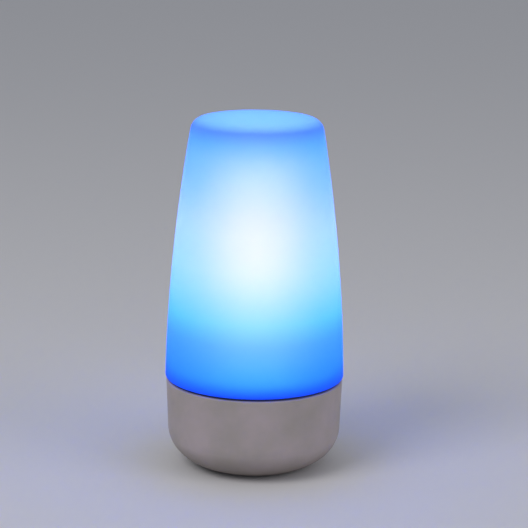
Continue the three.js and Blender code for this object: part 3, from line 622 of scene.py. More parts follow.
black_plastic, *_ = moulded(
    "black_glass_filled_nylon", pale=(0.022, 0.022, 0.024), deep=(0.013, 0.013, 0.014), patch=5,
    grain=0.25, depth=0.02, rough=(0.45, 0.7),
)
trough = [
    along_x(rod(11, -31, 31, steps=64), z=CELL_HEIGHT),
    slab((-35.7, -11, 12), (35.7, 11, 18)),
    slab((33.7, -9, 10), (35.6, 9, 25), 0.4),
    slab((-35.6, -9, 10), (-33.7, 9, 25), 0.4),
    slab((-14, -7, PLATE_TOP + CLEARANCE), (14, 7, 9.6)),
    slab((-2.9, -13.4, PLATE_TOP + 0.4), (2.9, 13.4, 7.7)),
    *[put(rod(3, PLATE_TOP + 0.35, EAR_TOP), x, y) for x, y in HOLDER_SCREWS],
]
trough_cuts = [
    along_x(rod(CAVITY_RADIUS, -CAVITY_HALF, CAVITY_HALF, steps=64), z=CELL_HEIGHT),
    slab((-33.87, -9.3, 17), (33.87, 9.3, 30), 0),
    slab((-32, -12, CELL_HEIGHT + 0.05), (32, 12, 32), 0),
    slab((-33.93, -4.6, 9), (-31.05, 4.6, 30), 0),
    slab((31.05, -4.6, 9), (33.93, 4.6, 30), 0),
    *[put(rod(1.35, 4, 9, flare=0.3), x, y) for x, y in HOLDER_SCREWS],
]
vents = [slab((x - 2, -3.7, 6), (x + 2, 3.7, 11.3), 0) for x in (-24.3, -18.3, 18.3, 24.3)]
holder_shape = boolean(boolean(trough[0], trough[1:], "UNION"), vents, "DIFFERENCE")
holder_shape = boolean(holder_shape, trough_cuts, "DIFFERENCE")
fit("battery_holder_skin", holder_shape, black_plastic, "black_plastic", "base", "battery_holder")

drive("holder_screw", HOLDER_SCREWS, EAR_TOP + CLEARANCE, HOLDER_SCREW, down=True)

nickel = brushed(
    "nickel_plate", pale=(0.66, 0.63, 0.57), deep=(0.5, 0.48, 0.43), size=0.4, stretch=(1, 1, 0.2),
    rough=(0.2, 0.4),
)
for name, side in (("battery_contact_plus", 1), ("battery_contact_minus", -1)):
    leaf = slab((33.1, -4, 11), (33.8, 4, 25.4), 0.15)
    tab = slab((33.13, -1.5, 24), (33.77, 1.5, 27.2), 0.15)
    dimple = slab((32.75, -1.6, CELL_HEIGHT - 1.6), (33.6, 1.6, CELL_HEIGHT + 1.6), 0.25)
    slits = [slab((32, y - 0.2, 12.5), (35, y + 0.2, 22.5), 0) for y in (-2.4, 2.4)]
    contact = boolean(boolean(leaf, [tab, dimple], "UNION"), slits, "DIFFERENCE")
    fit(name + "_skin", put(contact, turned=90 - 90 * side), nickel, "nickel", "base", name)

for name, route, slot, pale, deep in (
    ("battery_lead_red", RED_ROUTE, "red_wire", (0.5, 0.03, 0.02), (0.38, 0.02, 0.015)),
    ("battery_lead_black", BLACK_ROUTE, "black_wire", (0.03, 0.03, 0.032), (0.016, 0.016, 0.018)),
):
    insulation, *_ = moulded(
        slot + "_silicone", pale, deep, patch=3, grain=0.2, depth=0.01, rough=(0.4, 0.6),
    )
    fit(name + "_skin", lead(route, LEAD_RADIUS), insulation, slot, "base", name)


# ---- Control board ---------------------------------------------------------------------------------------
# A green two-sided circuit board, notched round the deck's pillars and screwed up to the deck's bosses. It
# holds the radio, the charger, the LED driver, and the socket and switch at its back edge.
BOARD_RADIUS = 42
BOARD_BOTTOM = 29
BOARD_TOP = 30.6
BOARD_SCREW = (2.2, 1.4, 1, 9)
BELOW_BOARD, ABOVE_BOARD = 28, 32
VIA_RADIUS = 0.35
VIAS = [
    (26, 22), (28, -20), (-8, 30), (-30, 20), (-22, -24), (10, 20), (-6, 20), (2, -34), (-24, 26), (16, 32),
]


def around(radius, angle):
    """X and Y of a place at an angle in degrees round the lamp's axis."""
    return radius * math.cos(math.radians(angle)), radius * math.sin(math.radians(angle))


BOARD_SCREWS = [around(33, angle) for angle in (30, 150, 270)]
board_cuts = [put(rod(3.6, BELOW_BOARD, ABOVE_BOARD), x, y) for x, y in PILLARS]
board_cuts += [put(rod(1.4, BELOW_BOARD, ABOVE_BOARD), x, y) for x, y in BOARD_SCREWS]
board_cuts += [
    slab((-14, 40.6, BELOW_BOARD), (14, 45, ABOVE_BOARD), 0),
    slab((32.5, -6, BELOW_BOARD), (45, 6, ABOVE_BOARD), 0),
    slab((-45, -6, BELOW_BOARD), (-32.5, 6, ABOVE_BOARD), 0),
]
board_cuts += [put(rod(VIA_RADIUS, BELOW_BOARD, ABOVE_BOARD, steps=12), x, y) for x, y in VIAS]
board_shape = boolean(disc(BOARD_RADIUS, BOARD_BOTTOM, BOARD_TOP, 0.12), board_cuts, "DIFFERENCE")
solder_mask, mask_shader, place, patches = moulded(
    "green_solder_mask", pale=(0.012, 0.1, 0.045), deep=(0.008, 0.07, 0.03), patch=15, grain=0.3,
    depth=0.01, rough=(0.25, 0.4), contrast=1,
)
tracks = place.node("TexVoronoi", {"Vector": place, "Scale": 260, "Randomness": 0.55}, distance="MANHATTAN")
track_lines = abs(tracks - 0.5) < 0.05
rims = place.node("SeparateXYZ", {"Vector": place}, output="Z")
bare_edge = abs(rims - (BOARD_BOTTOM + BOARD_TOP) / 2 * MM) < 0.68 * MM
mask_colour = blend(track_lines, patches, (0.02, 0.19, 0.07))
feed(mask_shader, "Base Color", blend(bare_edge, mask_colour, (0.38, 0.33, 0.14)))
fit("main_board_skin", board_shape, solder_mask, "circuit_board", "base", "main_board")

drive("board_screw", BOARD_SCREWS, BOARD_BOTTOM - CLEARANCE, BOARD_SCREW)


# ---- Chips and passives ----------------------------------------------------------------------------------
# What is soldered on the board: a charger and an LED driver in black packages, a radio module under a pressed
# can, a shielded inductor, and two aluminium-can capacitors.
CHIP_LEADS = {"charge_chip": 4, "led_driver_chip": 6}
LEAD_THICKNESS = 0.25
CARRIER_TOP = 31.5
CAN = ((-30.5, -10), (-17, 6))
CAPACITORS = [(22, 3), (30, 3)]

epoxy, *_ = moulded(
    "epoxy_package", pale=(0.03, 0.03, 0.031), deep=(0.02, 0.02, 0.021), patch=2, grain=0.08, depth=0.01,
    rough=(0.4, 0.6),
)
for name, leads in CHIP_LEADS.items():
    low, high = box_of(name)
    middle = (low + high) / 2
    body = slab((low.x + 0.5, low.y + 0.5, low.z + 0.1), (high.x - 0.5, high.y - 0.5, high.z), 0.12)
    pitch = (high.x - low.x - 1.8) / (leads - 1)
    feet = []
    for count in range(leads):
        along = pitch * (count - (leads - 1) / 2)
        start, end, top = along - pitch / 4, along + pitch / 4, low.z + LEAD_THICKNESS
        feet.append(slab((middle.x + start, low.y, low.z), (middle.x + end, high.y, top), 0.05))
        feet.append(slab((low.x, middle.y + start, low.z), (high.x, middle.y + end, top), 0.05))
    corner_dot = put(rod(0.3, high.z - 0.06, high.z + 1, steps=24), low.x + 1.1, high.y - 1.1)
    chip_shape = boolean(boolean(body, feet, "UNION"), [corner_dot], "DIFFERENCE")
    for face in chip_shape.faces:
        away = face.calc_center_median() / MM - middle
        face.material_index = int(max(abs(away.x), abs(away.y)) > (high.x - low.x) / 2 - 0.49)
    chip = fit(name + "_skin", chip_shape, epoxy, "black_plastic", "base", name)
    chip.data.materials.append(nickel)

low, high = box_of("radio_module")
carrier = slab(low, (high.x, high.y, CARRIER_TOP), 0.05)
can = slab((*CAN[0], CARRIER_TOP - 0.1), (*CAN[1], high.z), 0.35)
aerial_bottom, aerial_top = CARRIER_TOP - 0.1, CARRIER_TOP + 0.06
aerial = [
    slab((low.x + 0.6, y, aerial_bottom), (CAN[0][0] - 0.7, y + 0.5, aerial_top), 0)
    for y in range(-9, 6, 2)
]
aerial += [
    slab((x, y, aerial_bottom), (x + 0.5, y + 2.5, aerial_top), 0)
    for x, y in zip((low.x + 0.6, CAN[0][0] - 1.2) * 4, range(-9, 5, 2))
]
vents = [put(rod(0.45, high.z - 0.15, high.z + 1, steps=16), x, y) for x in (-28, -19.5) for y in (-7.5, 3.5)]
module_shape = boolean(boolean(carrier, [can, *aerial], "UNION"), vents, "DIFFERENCE")
for face in module_shape.faces:
    face.material_index = int(face.calc_center_median().z < (CARRIER_TOP + 0.01) * MM)
module = fit("radio_module_skin", module_shape, nickel, "nickel", "base", "radio_module")
module.data.materials.append(solder_mask)

ferrite, *_ = moulded(
    "ferrite", pale=(0.12, 0.12, 0.125), deep=(0.07, 0.07, 0.075), patch=1.5, grain=0.2, depth=0.02,
    rough=(0.5, 0.75), Metallic=0.3,
)
low, high = box_of("power_inductor")
middle = (low + high) / 2
core_gap = turn([(2.9, high.z - 0.5), (3.2, high.z - 0.5), (3.2, high.z + 1), (2.9, high.z + 1)])
put(core_gap, middle.x, middle.y)
inductor_shape = boolean(slab(low, high, 0.7), [core_gap], "DIFFERENCE")
fit("power_inductor_skin", inductor_shape, ferrite, "aluminium", "base", "power_inductor")

can_metal = brushed(
    "capacitor_can", pale=(0.72, 0.72, 0.73), deep=(0.6, 0.6, 0.61), size=0.6, stretch=(1, 1, 0.3),
    rough=(0.25, 0.4),
)
for number, (x, y) in enumerate(CAPACITORS, 1):
    name = f"bulk_capacitor_{number}"
    low, high = box_of(name)
    can_outline = softened([
        (0, low.z), (3.1, low.z), (3.1, low.z + 1), (2.85, low.z + 1.4), (3.1, low.z + 1.8),
        (3.1, high.z), (0, high.z),
    ], 0.3, ring=False)
    scores = [
        slab((-2, -0.08, high.z - 0.12), (2, 0.08, high.z + 1), 0),
        slab((-0.08, -2, high.z - 0.12), (0.08, 2, high.z + 1), 0),
    ]
    can_shape = boolean(turn(can_outline, 48), scores, "DIFFERENCE")
    for face in can_shape.faces:
        face.material_index = int(face.calc_center_median().z < (low.z + 0.9) * MM)
    capacitor = fit(name + "_skin", put(can_shape, x, y), can_metal, "aluminium", "base", name)
    capacitor.data.materials.append(epoxy)


# ---- Charging socket -------------------------------------------------------------------------------------
# A drawn steel shell with a thin tongue inside that has contacts on both faces. It stands on the board behind
# the slot in the base shell.
SOCKET_BACK = 38.9
SOCKET_FRONT = 46
SOCKET_SHELL = (8.94, 3.26, 1.6)
SOCKET_MOUTH = (8.3, 2.6, 1.28)
CONTACTS = 12
CONTACT_PITCH = 0.5

socket_body = pad(*SOCKET_SHELL, SOCKET_BACK, SOCKET_FRONT, 0.12)
socket_mouth = pad(*SOCKET_MOUTH, SOCKET_BACK + 1.2, SOCKET_FRONT + 1)
tongue = put(slab((-3.3, SOCKET_BACK + 0.8, -0.33), (3.3, SOCKET_FRONT - 0.9, 0.33), 0.12), z=PORT_HEIGHT)
contacts = []
for count in range(CONTACTS):
    x = CONTACT_PITCH * (count - (CONTACTS - 1) / 2)
    contact = slab((x - 0.13, SOCKET_BACK + 1, -0.38), (x + 0.13, SOCKET_FRONT - 1.3, 0.38), 0)
    contacts.append(put(contact, z=PORT_HEIGHT))
socket_shape = boolean(
    boolean(socket_body, [socket_mouth], "DIFFERENCE"), [tongue, *contacts], "UNION",
)
for face in socket_shape.faces:
    middle = face.calc_center_median() / MM
    level = abs(middle.z - PORT_HEIGHT)
    inside_mouth = abs(middle.x) < 3.31 and middle.y > SOCKET_BACK + 1.25
    face.material_index = 0 if level > 0.5 or not inside_mouth else 1 + int(level > 0.34)
gilt = brushed(
    "gold_flash", pale=(0.8, 0.58, 0.25), deep=(0.7, 0.5, 0.2), size=0.3, stretch=(1, 0.2, 1),
    rough=(0.2, 0.35),
)
socket = fit("usb_socket_skin", socket_shape, nickel, "steel", "base", "usb_socket")
socket.data.materials.append(epoxy)
socket.data.materials.append(gilt)


# ---- Power button ----------------------------------------------------------------------------------------
# A round cap in the shell's plastic, with a dished face and a finger ring, kept in by its flange. Behind it a
# white plunger slides in a small black switch that is soldered on the board's edge.
BUTTON_FACE = 49.9
BUTTON_BACK = 42.4
FLANGE_RADIUS = 5.9
FLANGE_BACK, FLANGE_FRONT = 43.6, 44.9
DISH_RADIUS = 2.5
DISH_EDGE = BUTTON_FACE - 0.12
DISH_DEPTH = 0.25
PLUNGER_BACK, PLUNGER_FRONT = 40.3, 42.1

dish = [(3.3, BUTTON_FACE), (3.0, BUTTON_FACE - 0.08), (2.75, BUTTON_FACE - 0.28), (DISH_RADIUS, DISH_EDGE)]
dish += [
    (DISH_RADIUS * (1 - step / 6), DISH_EDGE - DISH_DEPTH * math.sin(step / 6 * math.pi / 2))
    for step in range(1, 7)
]
button_outline = softened([
    (0, BUTTON_BACK), (1.5, BUTTON_BACK), (1.5, FLANGE_BACK), (FLANGE_RADIUS, FLANGE_BACK),
    (FLANGE_RADIUS, FLANGE_FRONT), (BUTTON_RADIUS, FLANGE_FRONT), (BUTTON_RADIUS, BUTTON_FACE - 0.3),
    (BUTTON_RADIUS - 0.5, BUTTON_FACE), *dish,
], 0.2, ring=False)
button_shape = outward(turn(button_outline, 96), BUTTON_ANGLE)
fit("power_button_skin", button_shape, warm_plastic, "shell_plastic", "button", "power_button")

milk_plastic, *_ = moulded(
    "milk_white_plastic", pale=(0.82, 0.83, 0.84), deep=(0.76, 0.77, 0.79), patch=20, grain=0.3, depth=0.01,
    rough=(0.3, 0.45),
)
plunger_shape = outward(disc(1, PLUNGER_BACK, PLUNGER_FRONT, 0.15, steps=32), BUTTON_ANGLE)
fit("switch_plunger_skin", plunger_shape, milk_plastic, "white_plastic", "button", "switch_plunger")

switch_case = slab((-1.7, -3, 36), (1.7, 3, 41.2), 0.2)
switch_cuts = [rod(1.3, 38.4, 41.3, flare=0.15, steps=32)]
switch_cuts += [slab((-2, y - 0.15, 40.4), (2, y + 0.15, 42), 0) for y in (-2.2, 2.2)]
switch_shape = outward(boolean(switch_case, switch_cuts, "DIFFERENCE"), BUTTON_ANGLE)
fit("switch_body_skin", switch_shape, epoxy, "black_plastic", "base", "switch_body")


# ---- Charge light ----------------------------------------------------------------------------------------
# A clear rod that carries the light of an LED on the board to the outside. A collar holds it in its hole, and
# its end is a low lens just under the shell's surface.
PIPE_RADIUS = 1.1
PIPE_BACK, PIPE_LENS, PIPE_FRONT = 42.6, 49, 49.2
PIPE_COLLAR = 2
COLLAR_BACK, COLLAR_FRONT = 45.6, 46.6

pipe_outline = softened([
    (0, PIPE_BACK), (PIPE_RADIUS, PIPE_BACK), (PIPE_RADIUS, COLLAR_BACK), (PIPE_COLLAR, COLLAR_BACK),
    (PIPE_COLLAR, COLLAR_FRONT), (PIPE_RADIUS, COLLAR_FRONT), (PIPE_RADIUS, PIPE_LENS),
    (0.6, PIPE_FRONT - 0.04), (0, PIPE_FRONT),
], 0.15, ring=False)
clear_plastic, clear_shader, place = new_material(
    "clear_acrylic", Roughness=0.2, IOR=1.49, Transmission_Weight=0.8,
)
haze = noise(place, 1.2)
feed(clear_shader, "Base Color", blend(haze, (0.78, 0.86, 0.88), (0.9, 0.95, 0.96)))
feed(clear_shader, "Normal", haze.node("Bump", {"Height": haze, "Distance": 0.01 * MM, "Strength": 0.4}))
pipe_shape = outward(turn(pipe_outline, 32), PIPE_ANGLE)
fit("charge_light_pipe_skin", pipe_shape, clear_plastic, "clear_plastic", "base", "charge_light_pipe")


# ---- Port cover ------------------------------------------------------------------------------------------
# A soft silicone flap that lies flush in its recess. It swings on a knuckle along its top edge, has a rib
# that presses into the socket, and a nail groove near its lower edge.
COVER = (12.8, 8.4, 1.2)
COVER_FACE = 49.25
KNUCKLE_RADIUS = 0.8
KNUCKLE_HALF = 6.2

flap = boolean(pad(*COVER, 47.8, 52), [rod(COVER_FACE, 20, 45, steps=256)], "INTERSECT")
nail_groove = along_x(rod(0.9, -3, 3, steps=32), y=COVER_FACE + 0.5, z=PORT_HEIGHT - 2.7)
flap = boolean(flap, [nail_groove], "DIFFERENCE")
knuckle = along_x(disc(KNUCKLE_RADIUS, -KNUCKLE_HALF, KNUCKLE_HALF, 0.2, steps=32), HINGE_Y, HINGE_Z)
rib = pad(8.6, 3, 1.4, 46.6, 48, 0.25)
cover_shape = boolean(flap, [knuckle, rib], "UNION")
fit("port_cover_skin", cover_shape, pale_silicone, "pale_rubber", "port_cover", "port_cover")


# ---- Deck ------------------------------------------------------------------------------------------------
# The white plate that closes the base, moulded in one with the bayonet's collar, hooks and stops above, and
# with ribs, screw bosses and four long pillars below. It rests on the shell's ledge.
DECK_RADIUS = 47.1
DECK_BOTTOM = 44.9
DECK_TOP = 47.1
COLLAR_INNER = 39.8
COLLAR_OUTER = 41.8
COLLAR_TOP = 53
HOOK_OUTER = 44.1
HOOK_BOTTOM = 50.4
HOOK_TOP = 52
HOOK_ARC = 34
HOOK_ANGLES = (90, 210, 330)
LUG_ARC = 26
STOP_ARC = 3
REFLECTOR_SCREWS = [around(29, angle) for angle in HOOK_ANGLES]
COLUMN_SCREWS = [around(10.9, angle) for angle in (0, 120, 240)]
PILLAR_RADIUS = 3.2
BOARD_BOSS_RADIUS = 2.8
REFLECTOR_BOSS = (2.4, 40.5, 49.6)
COLUMN_BOSS = (2.6, 39.5, DECK_BOTTOM + 1)
PILLAR_HOLE_RADIUS = 1.45
BOSS_HOLE_RADIUS = 1.25
COLUMN_HOLE_RADIUS = 1.15
RIB_INNER, RIB_OUTER = 14, 45.2
RIB_HALF = 0.6
RIB_HEIGHT = 2


def arc_block(inner, outer, bottom, top, middle, spread):
    """Part of a ring, centred on an angle in degrees, its long edges eased."""
    shape = bmesh.new()
    section = softened([(inner, bottom), (outer, bottom), (outer, top), (inner, top)], 0.25)
    corners = [shape.verts.new((radius * MM, 0, height * MM)) for radius, height in section]
    end = shape.faces.new(corners)
    bmesh.ops.spin(
        shape, geom=[end], cent=(0, 0, 0), axis=(0, 0, 1), dvec=(0, 0, 0),
        angle=math.radians(spread), steps=12, use_merge=False, use_duplicate=False,
    )
    bmesh.ops.recalc_face_normals(shape, faces=shape.faces)
    return put(shape, turned=middle - spread / 2)


deck_outline = softened([
    (6, DECK_BOTTOM), (DECK_RADIUS, DECK_BOTTOM), (DECK_RADIUS, DECK_TOP), (COLLAR_OUTER, DECK_TOP),
    (COLLAR_OUTER, COLLAR_TOP), (COLLAR_INNER, COLLAR_TOP), (COLLAR_INNER, DECK_TOP), (6, DECK_TOP),
], 0.3)
stop_angle = LUG_ARC / 2 + 1 + STOP_ARC / 2
stop_size = (COLLAR_OUTER - 0.7, HOOK_OUTER - 0.05, DECK_TOP - 0.5, HOOK_BOTTOM + 0.5)
deck_additions = []
for angle in HOOK_ANGLES:
    deck_additions += [
        arc_block(COLLAR_OUTER - 0.8, HOOK_OUTER, HOOK_BOTTOM, HOOK_TOP, angle, HOOK_ARC),
        arc_block(*stop_size, angle + stop_angle, STOP_ARC),
    ]
pillar_ends = (PLATE_TOP + CLEARANCE, DECK_BOTTOM + 1)
board_boss_ends = (BOARD_TOP + CLEARANCE, DECK_BOTTOM + 1)
rib_bottom = DECK_BOTTOM - RIB_HEIGHT
deck_additions += [put(rod(PILLAR_RADIUS, *pillar_ends), x, y) for x, y in PILLARS]
deck_additions += [put(rod(BOARD_BOSS_RADIUS, *board_boss_ends), x, y) for x, y in BOARD_SCREWS]
deck_additions += [put(rod(*REFLECTOR_BOSS), x, y) for x, y in REFLECTOR_SCREWS]
deck_additions += [put(rod(*COLUMN_BOSS), x, y) for x, y in COLUMN_SCREWS]
deck_additions += [
    put(slab((RIB_INNER, -RIB_HALF, rib_bottom), (RIB_OUTER, RIB_HALF, DECK_BOTTOM + 0.5)), turned=angle)
    for angle in range(0, 360, 60)
]
deck_holes = [put(rod(PILLAR_HOLE_RADIUS, 0, 18), x, y) for x, y in PILLARS]
deck_holes += [put(rod(BOSS_HOLE_RADIUS, 30, 40), x, y) for x, y in BOARD_SCREWS]
deck_holes += [put(rod(BOSS_HOLE_RADIUS, 41.5, 52), x, y) for x, y in REFLECTOR_SCREWS]
deck_holes += [put(rod(COLUMN_HOLE_RADIUS, 40.5, 50), x, y) for x, y in COLUMN_SCREWS]
deck_shape = boolean(boolean(turn(deck_outline, 160), deck_additions, "UNION"), deck_holes, "DIFFERENCE")
fit("top_deck_skin", deck_shape, milk_plastic, "white_plastic", "base", "top_deck")


# ---- Connectors ------------------------------------------------------------------------------------------
# White nylon housings: a header and plug for the battery under the board, and a taller pair in the middle of
# the board, whose round lead goes up the column's bore to the LEDs.
LED_ROUTE = [(0, 0, 38.3), (0.8, 0, 46), (-0.8, 0.4, 78), (0.8, -0.4, 120), (0, 0, 164)]
LED_LEAD_RADIUS = 1.5
WINDOW_DEPTH = 0.4

for name, windows in (("battery_header", 2), ("battery_plug", 2), ("led_header", 3), ("led_plug", 3)):
    low, high = box_of(name)
    pitch = (high.x - low.x) / windows
    openings = []
    for count in range(windows):
        left, right = low.x + pitch * (count + 0.25), low.x + pitch * (count + 0.75)
        for front, back in ((low.y - 1, low.y + WINDOW_DEPTH), (high.y - WINDOW_DEPTH, high.y + 1)):
            openings.append(slab((left, front, low.z + 0.5), (right, back, high.z - 0.5), 0))
    housing = boolean(slab(low, high, 0.15), openings, "DIFFERENCE")
    fit(name + "_skin", housing, milk_plastic, "white_plastic", "base", name)
black_silicone = bpy.data.materials["black_wire_silicone"]
fit("led_lead_skin", lead(LED_ROUTE, LED_LEAD_RADIUS), black_silicone, "black_wire", "base", "led_lead")


# ---- LED column ------------------------------------------------------------------------------------------
# A six-sided aluminium extrusion with a round bore, on a turned foot that three screws hold to the deck. It
# carries the LED strips on its flats and takes their heat down to the deck.
FLANGE_BOTTOM = DECK_TOP + CLEARANCE
COLUMN_FLAT = 7
COLUMN_TOP = 164
COLUMN_BORE = 4.2
COLUMN_FOOT = 13.5
COLUMN_FOOT_TOP = FLANGE_BOTTOM + 2
COLUMN_SCREW = (1.8, 1.3, 0.9, 7)
COLUMN_SCREW_SEAT = 49.7

stem = bmesh.new()
bmesh.ops.create_circle(
    stem, cap_ends=True, segments=6, radius=COLUMN_FLAT * MM / math.cos(math.radians(30)),
    matrix=Matrix.Translation((0, 0, (FLANGE_BOTTOM + 1) * MM)) @ Matrix.Rotation(math.radians(30), 4, "Z"),
)
grown = bmesh.ops.extrude_face_region(stem, geom=stem.faces)
risen = [item for item in grown["geom"] if isinstance(item, bmesh.types.BMVert)]
bmesh.ops.translate(stem, verts=risen, vec=(0, 0, (COLUMN_TOP - FLANGE_BOTTOM - 1) * MM))
bmesh.ops.recalc_face_normals(stem, faces=stem.faces)
round_edges(stem, stem.edges, 0.4)
column_foot = disc(COLUMN_FOOT, FLANGE_BOTTOM, COLUMN_FOOT_TOP, 0.3)
column_cuts = [rod(COLUMN_BORE, 45, COLUMN_TOP + 1)]
column_cuts += [put(rod(1.3, 46, 51), x, y) for x, y in COLUMN_SCREWS]
column_shape = boolean(boolean(column_foot, [stem], "UNION"), column_cuts, "DIFFERENCE")
aluminium = brushed(
    "extruded_aluminium", pale=(0.7, 0.71, 0.72), deep=(0.56, 0.57, 0.58), size=0.4, stretch=(1, 1, 0.04),
    rough=(0.28, 0.5),
)
fit("led_column_skin", column_shape, aluminium, "aluminium", "base", "led_column")
drive("column_screw", COLUMN_SCREWS, COLUMN_SCREW_SEAT, COLUMN_SCREW, twist=25, down=True)


# ---- LED strips ------------------------------------------------------------------------------------------
# Six narrow white boards, each with a row of square LEDs whose round wells are filled with phosphor, taped to
# the column's flats. A round board with one larger LED closes the column's top.
STRIP_COUNT = 6
LED_COUNT = 9
STRIP_BOTTOM = 54
STRIP_TOP = 161
STRIP_FACE = COLUMN_FLAT + 1.3
LED_HALF = 1.75
LED_FACE = STRIP_FACE + 1.4
WELL_RADIUS = 1.35
WELL_DEPTH = 0.3
CAP_BOTTOM = COLUMN_TOP + CLEARANCE
CAP_WELL_FLOOR = CAP_BOTTOM + 2

strip_white, *_ = moulded(
    "white_solder_mask", pale=(0.84, 0.84, 0.82), deep=(0.76, 0.76, 0.73), patch=4, grain=0.2, depth=0.01,
    rough=(0.35, 0.5),
)
phosphor, phosphor_shader, place = new_material("lit_phosphor", Roughness=0.5, Emission_Strength=4)
speckle = noise(place, 0.15, detail=4)
feed(phosphor_shader, "Base Color", blend(speckle, (0.85, 0.75, 0.2), (0.95, 0.9, 0.45)))
feed(phosphor_shader, "Emission Color", blend(speckle, (0.55, 0.7, 1), (0.8, 0.9, 1)))
strip_parts = [slab((STRIP_FACE - 1, -3.8, STRIP_BOTTOM), (STRIP_FACE, 3.8, STRIP_TOP), 0.05)]
wells = []
led_pitch = (STRIP_TOP - STRIP_BOTTOM) / LED_COUNT
for count in range(LED_COUNT):
    middle = STRIP_BOTTOM + led_pitch * (count + 0.5)
    led_low, led_high = middle - LED_HALF, middle + LED_HALF
    led = slab((STRIP_FACE - 0.2, -LED_HALF, led_low), (LED_FACE, LED_HALF, led_high), 0.15)
    resistor = slab((STRIP_FACE - 0.2, -0.4, middle + 3.8), (STRIP_FACE + 0.4, 0.4, middle + 5.2), 0.08)
    strip_parts += [led, resistor] if count < LED_COUNT - 1 else [led]
    wells.append(along_x(rod(WELL_RADIUS, LED_FACE - WELL_DEPTH, LED_FACE + 1, steps=32), z=middle))
strip = boolean(boolean(strip_parts[0], strip_parts[1:], "UNION"), wells, "DIFFERENCE")
for face in strip.faces:
    from_floor = face.calc_center_median().x / MM - (LED_FACE - WELL_DEPTH)
    face.material_index = int(face.normal.x > 0.9 and abs(from_floor) < 0.05)
for number in range(STRIP_COUNT):
    name = f"led_strip_{number + 1}"
    turned_strip = put(strip.copy(), turned=30 + 60 * number)
    made = fit(name + "_skin", turned_strip, strip_white, "led_board", "base", name)
    made.data.materials.append(phosphor)
strip.free()

cap_board = disc(COLUMN_FLAT, CAP_BOTTOM, CAP_BOTTOM + 1, 0.1)
cap_led = boolean(
    slab((-2.5, -2.5, CAP_BOTTOM + 0.8), (2.5, 2.5, CAP_BOTTOM + 2.4), 0.2),
    [rod(2, CAP_WELL_FLOOR, CAP_WELL_FLOOR + 1)],
    "DIFFERENCE",
)
cap_shape = boolean(cap_board, [cap_led], "UNION")
for face in cap_shape.faces:
    from_floor = face.calc_center_median().z / MM - CAP_WELL_FLOOR
    face.material_index = int(face.normal.z > 0.9 and abs(from_floor) < 0.05)
cap = fit("led_cap_board_skin", cap_shape, strip_white, "led_board", "base", "led_cap_board")
cap.data.materials.append(phosphor)


# ---- Light tube ------------------------------------------------------------------------------------------
# A frosted tube with a low dome that stands over the column and blends its LEDs into one soft white core. Its
# flange is held down by the reflector's inner edge.
TUBE_RADIUS = 18
TUBE_WALL = 1.5
TUBE_STRAIGHT_TOP = 170
TUBE_DOME = 8
FLANGE_REACH = 2.4
FLANGE_HEIGHT = 1.5
BETWEEN_LEDS = (0.8, 0.84, 0.9, 1)
TUBE_GLOW = [
    (0, (0.45, 0.58, 0.55)), (0.2, (0.48, 0.46, 0.6)), (0.4, (0.75, 0.38, 0.7)), (0.58, (0.96, 0.42, 0.75)),
    (0.75, (0.7, 0.38, 0.72)), (1, (0.95, 0.6, 0.72)),
]

tube_inner = TUBE_RADIUS - TUBE_WALL
dome = arc((0, TUBE_STRAIGHT_TOP), (TUBE_RADIUS, TUBE_DOME), 0, 90, 16)
dome_inside = arc((0, TUBE_STRAIGHT_TOP), (tube_inner, TUBE_DOME - TUBE_WALL), 0, 90, 16)
tube_foot = softened([
    (tube_inner, FLANGE_BOTTOM + 3), (tube_inner, FLANGE_BOTTOM), (TUBE_RADIUS + FLANGE_REACH, FLANGE_BOTTOM),
    (TUBE_RADIUS + FLANGE_REACH, FLANGE_BOTTOM + FLANGE_HEIGHT), (TUBE_RADIUS, FLANGE_BOTTOM + FLANGE_HEIGHT),
    (TUBE_RADIUS, FLANGE_BOTTOM + 6),
], 0.3, ring=False)
tube_outline = [
    (0, dome_inside[-1][1]), *reversed(dome_inside[:-1]), *tube_foot, *dome[:-1], (0, dome[-1][1]),
]
frost, frost_shader, place = new_material("glowing_frost", Roughness=0.6, Emission_Strength=3)
tube_x, tube_y, tube_height = [
    place.node("SeparateXYZ", {"Vector": place}, output=axis) for axis in "XYZ"
]
tube_up = (tube_height - DECK_TOP * MM) / ((TUBE_STRAIGHT_TOP + TUBE_DOME - DECK_TOP) * MM)
core = tube_up.node("ValToRGB", {"Fac": tube_up}, stops=TUBE_GLOW)
dim_core = core.node(
    "Mix", {0: 1.0, 6: core, 7: BETWEEN_LEDS}, output=2, data_type="RGBA", blend_type="MULTIPLY",
)
round_tube = tube_y.math("ARCTAN2", tube_y, tube_x) * STRIP_COUNT + math.pi
up_strip = (tube_height / MM - STRIP_BOTTOM) * (2 * math.pi / led_pitch) + math.pi
round_light, up_light = [wave.math("COSINE", wave, 0) for wave in (round_tube, up_strip)]
spots = (round_light + 1) * (up_light + 1) / 4
feed(frost_shader, "Emission Color", blend(spots, dim_core, core))
frosting = noise(place, 0.5)
feed(frost_shader, "Base Color", blend(frosting, (0.8, 0.86, 0.9), (0.9, 0.93, 0.95)))
feed(frost_shader, "Roughness", frosting * 0.2 + 0.5)
frosted = frosting.node("Bump", {"Height": frosting, "Distance": 0.01 * MM, "Strength": 0.5})
feed(frost_shader, "Normal", frosted)
fit("light_tube_skin", turn(tube_outline, 96), frost, "frosted_tube", "base", "light_tube")


# ---- Reflector -------------------------------------------------------------------------------------------
# A shallow white dish round the tube that sends the light up the shade. Its skirt stands on the deck, its
# inner edge holds the tube's flange down, and three screws hold it to the deck's bosses.
DISH_BOTTOM = 49.2
DISH_RISE = 2.4
SKIRT_OUTER = COLLAR_INNER - 0.5
DISH_WALL = 1.2
DISH_STEPS = 8
REFLECTOR_SCREW = (2.1, 1.4, 1, 9)
REFLECTOR_SCREW_SEAT = 51.9

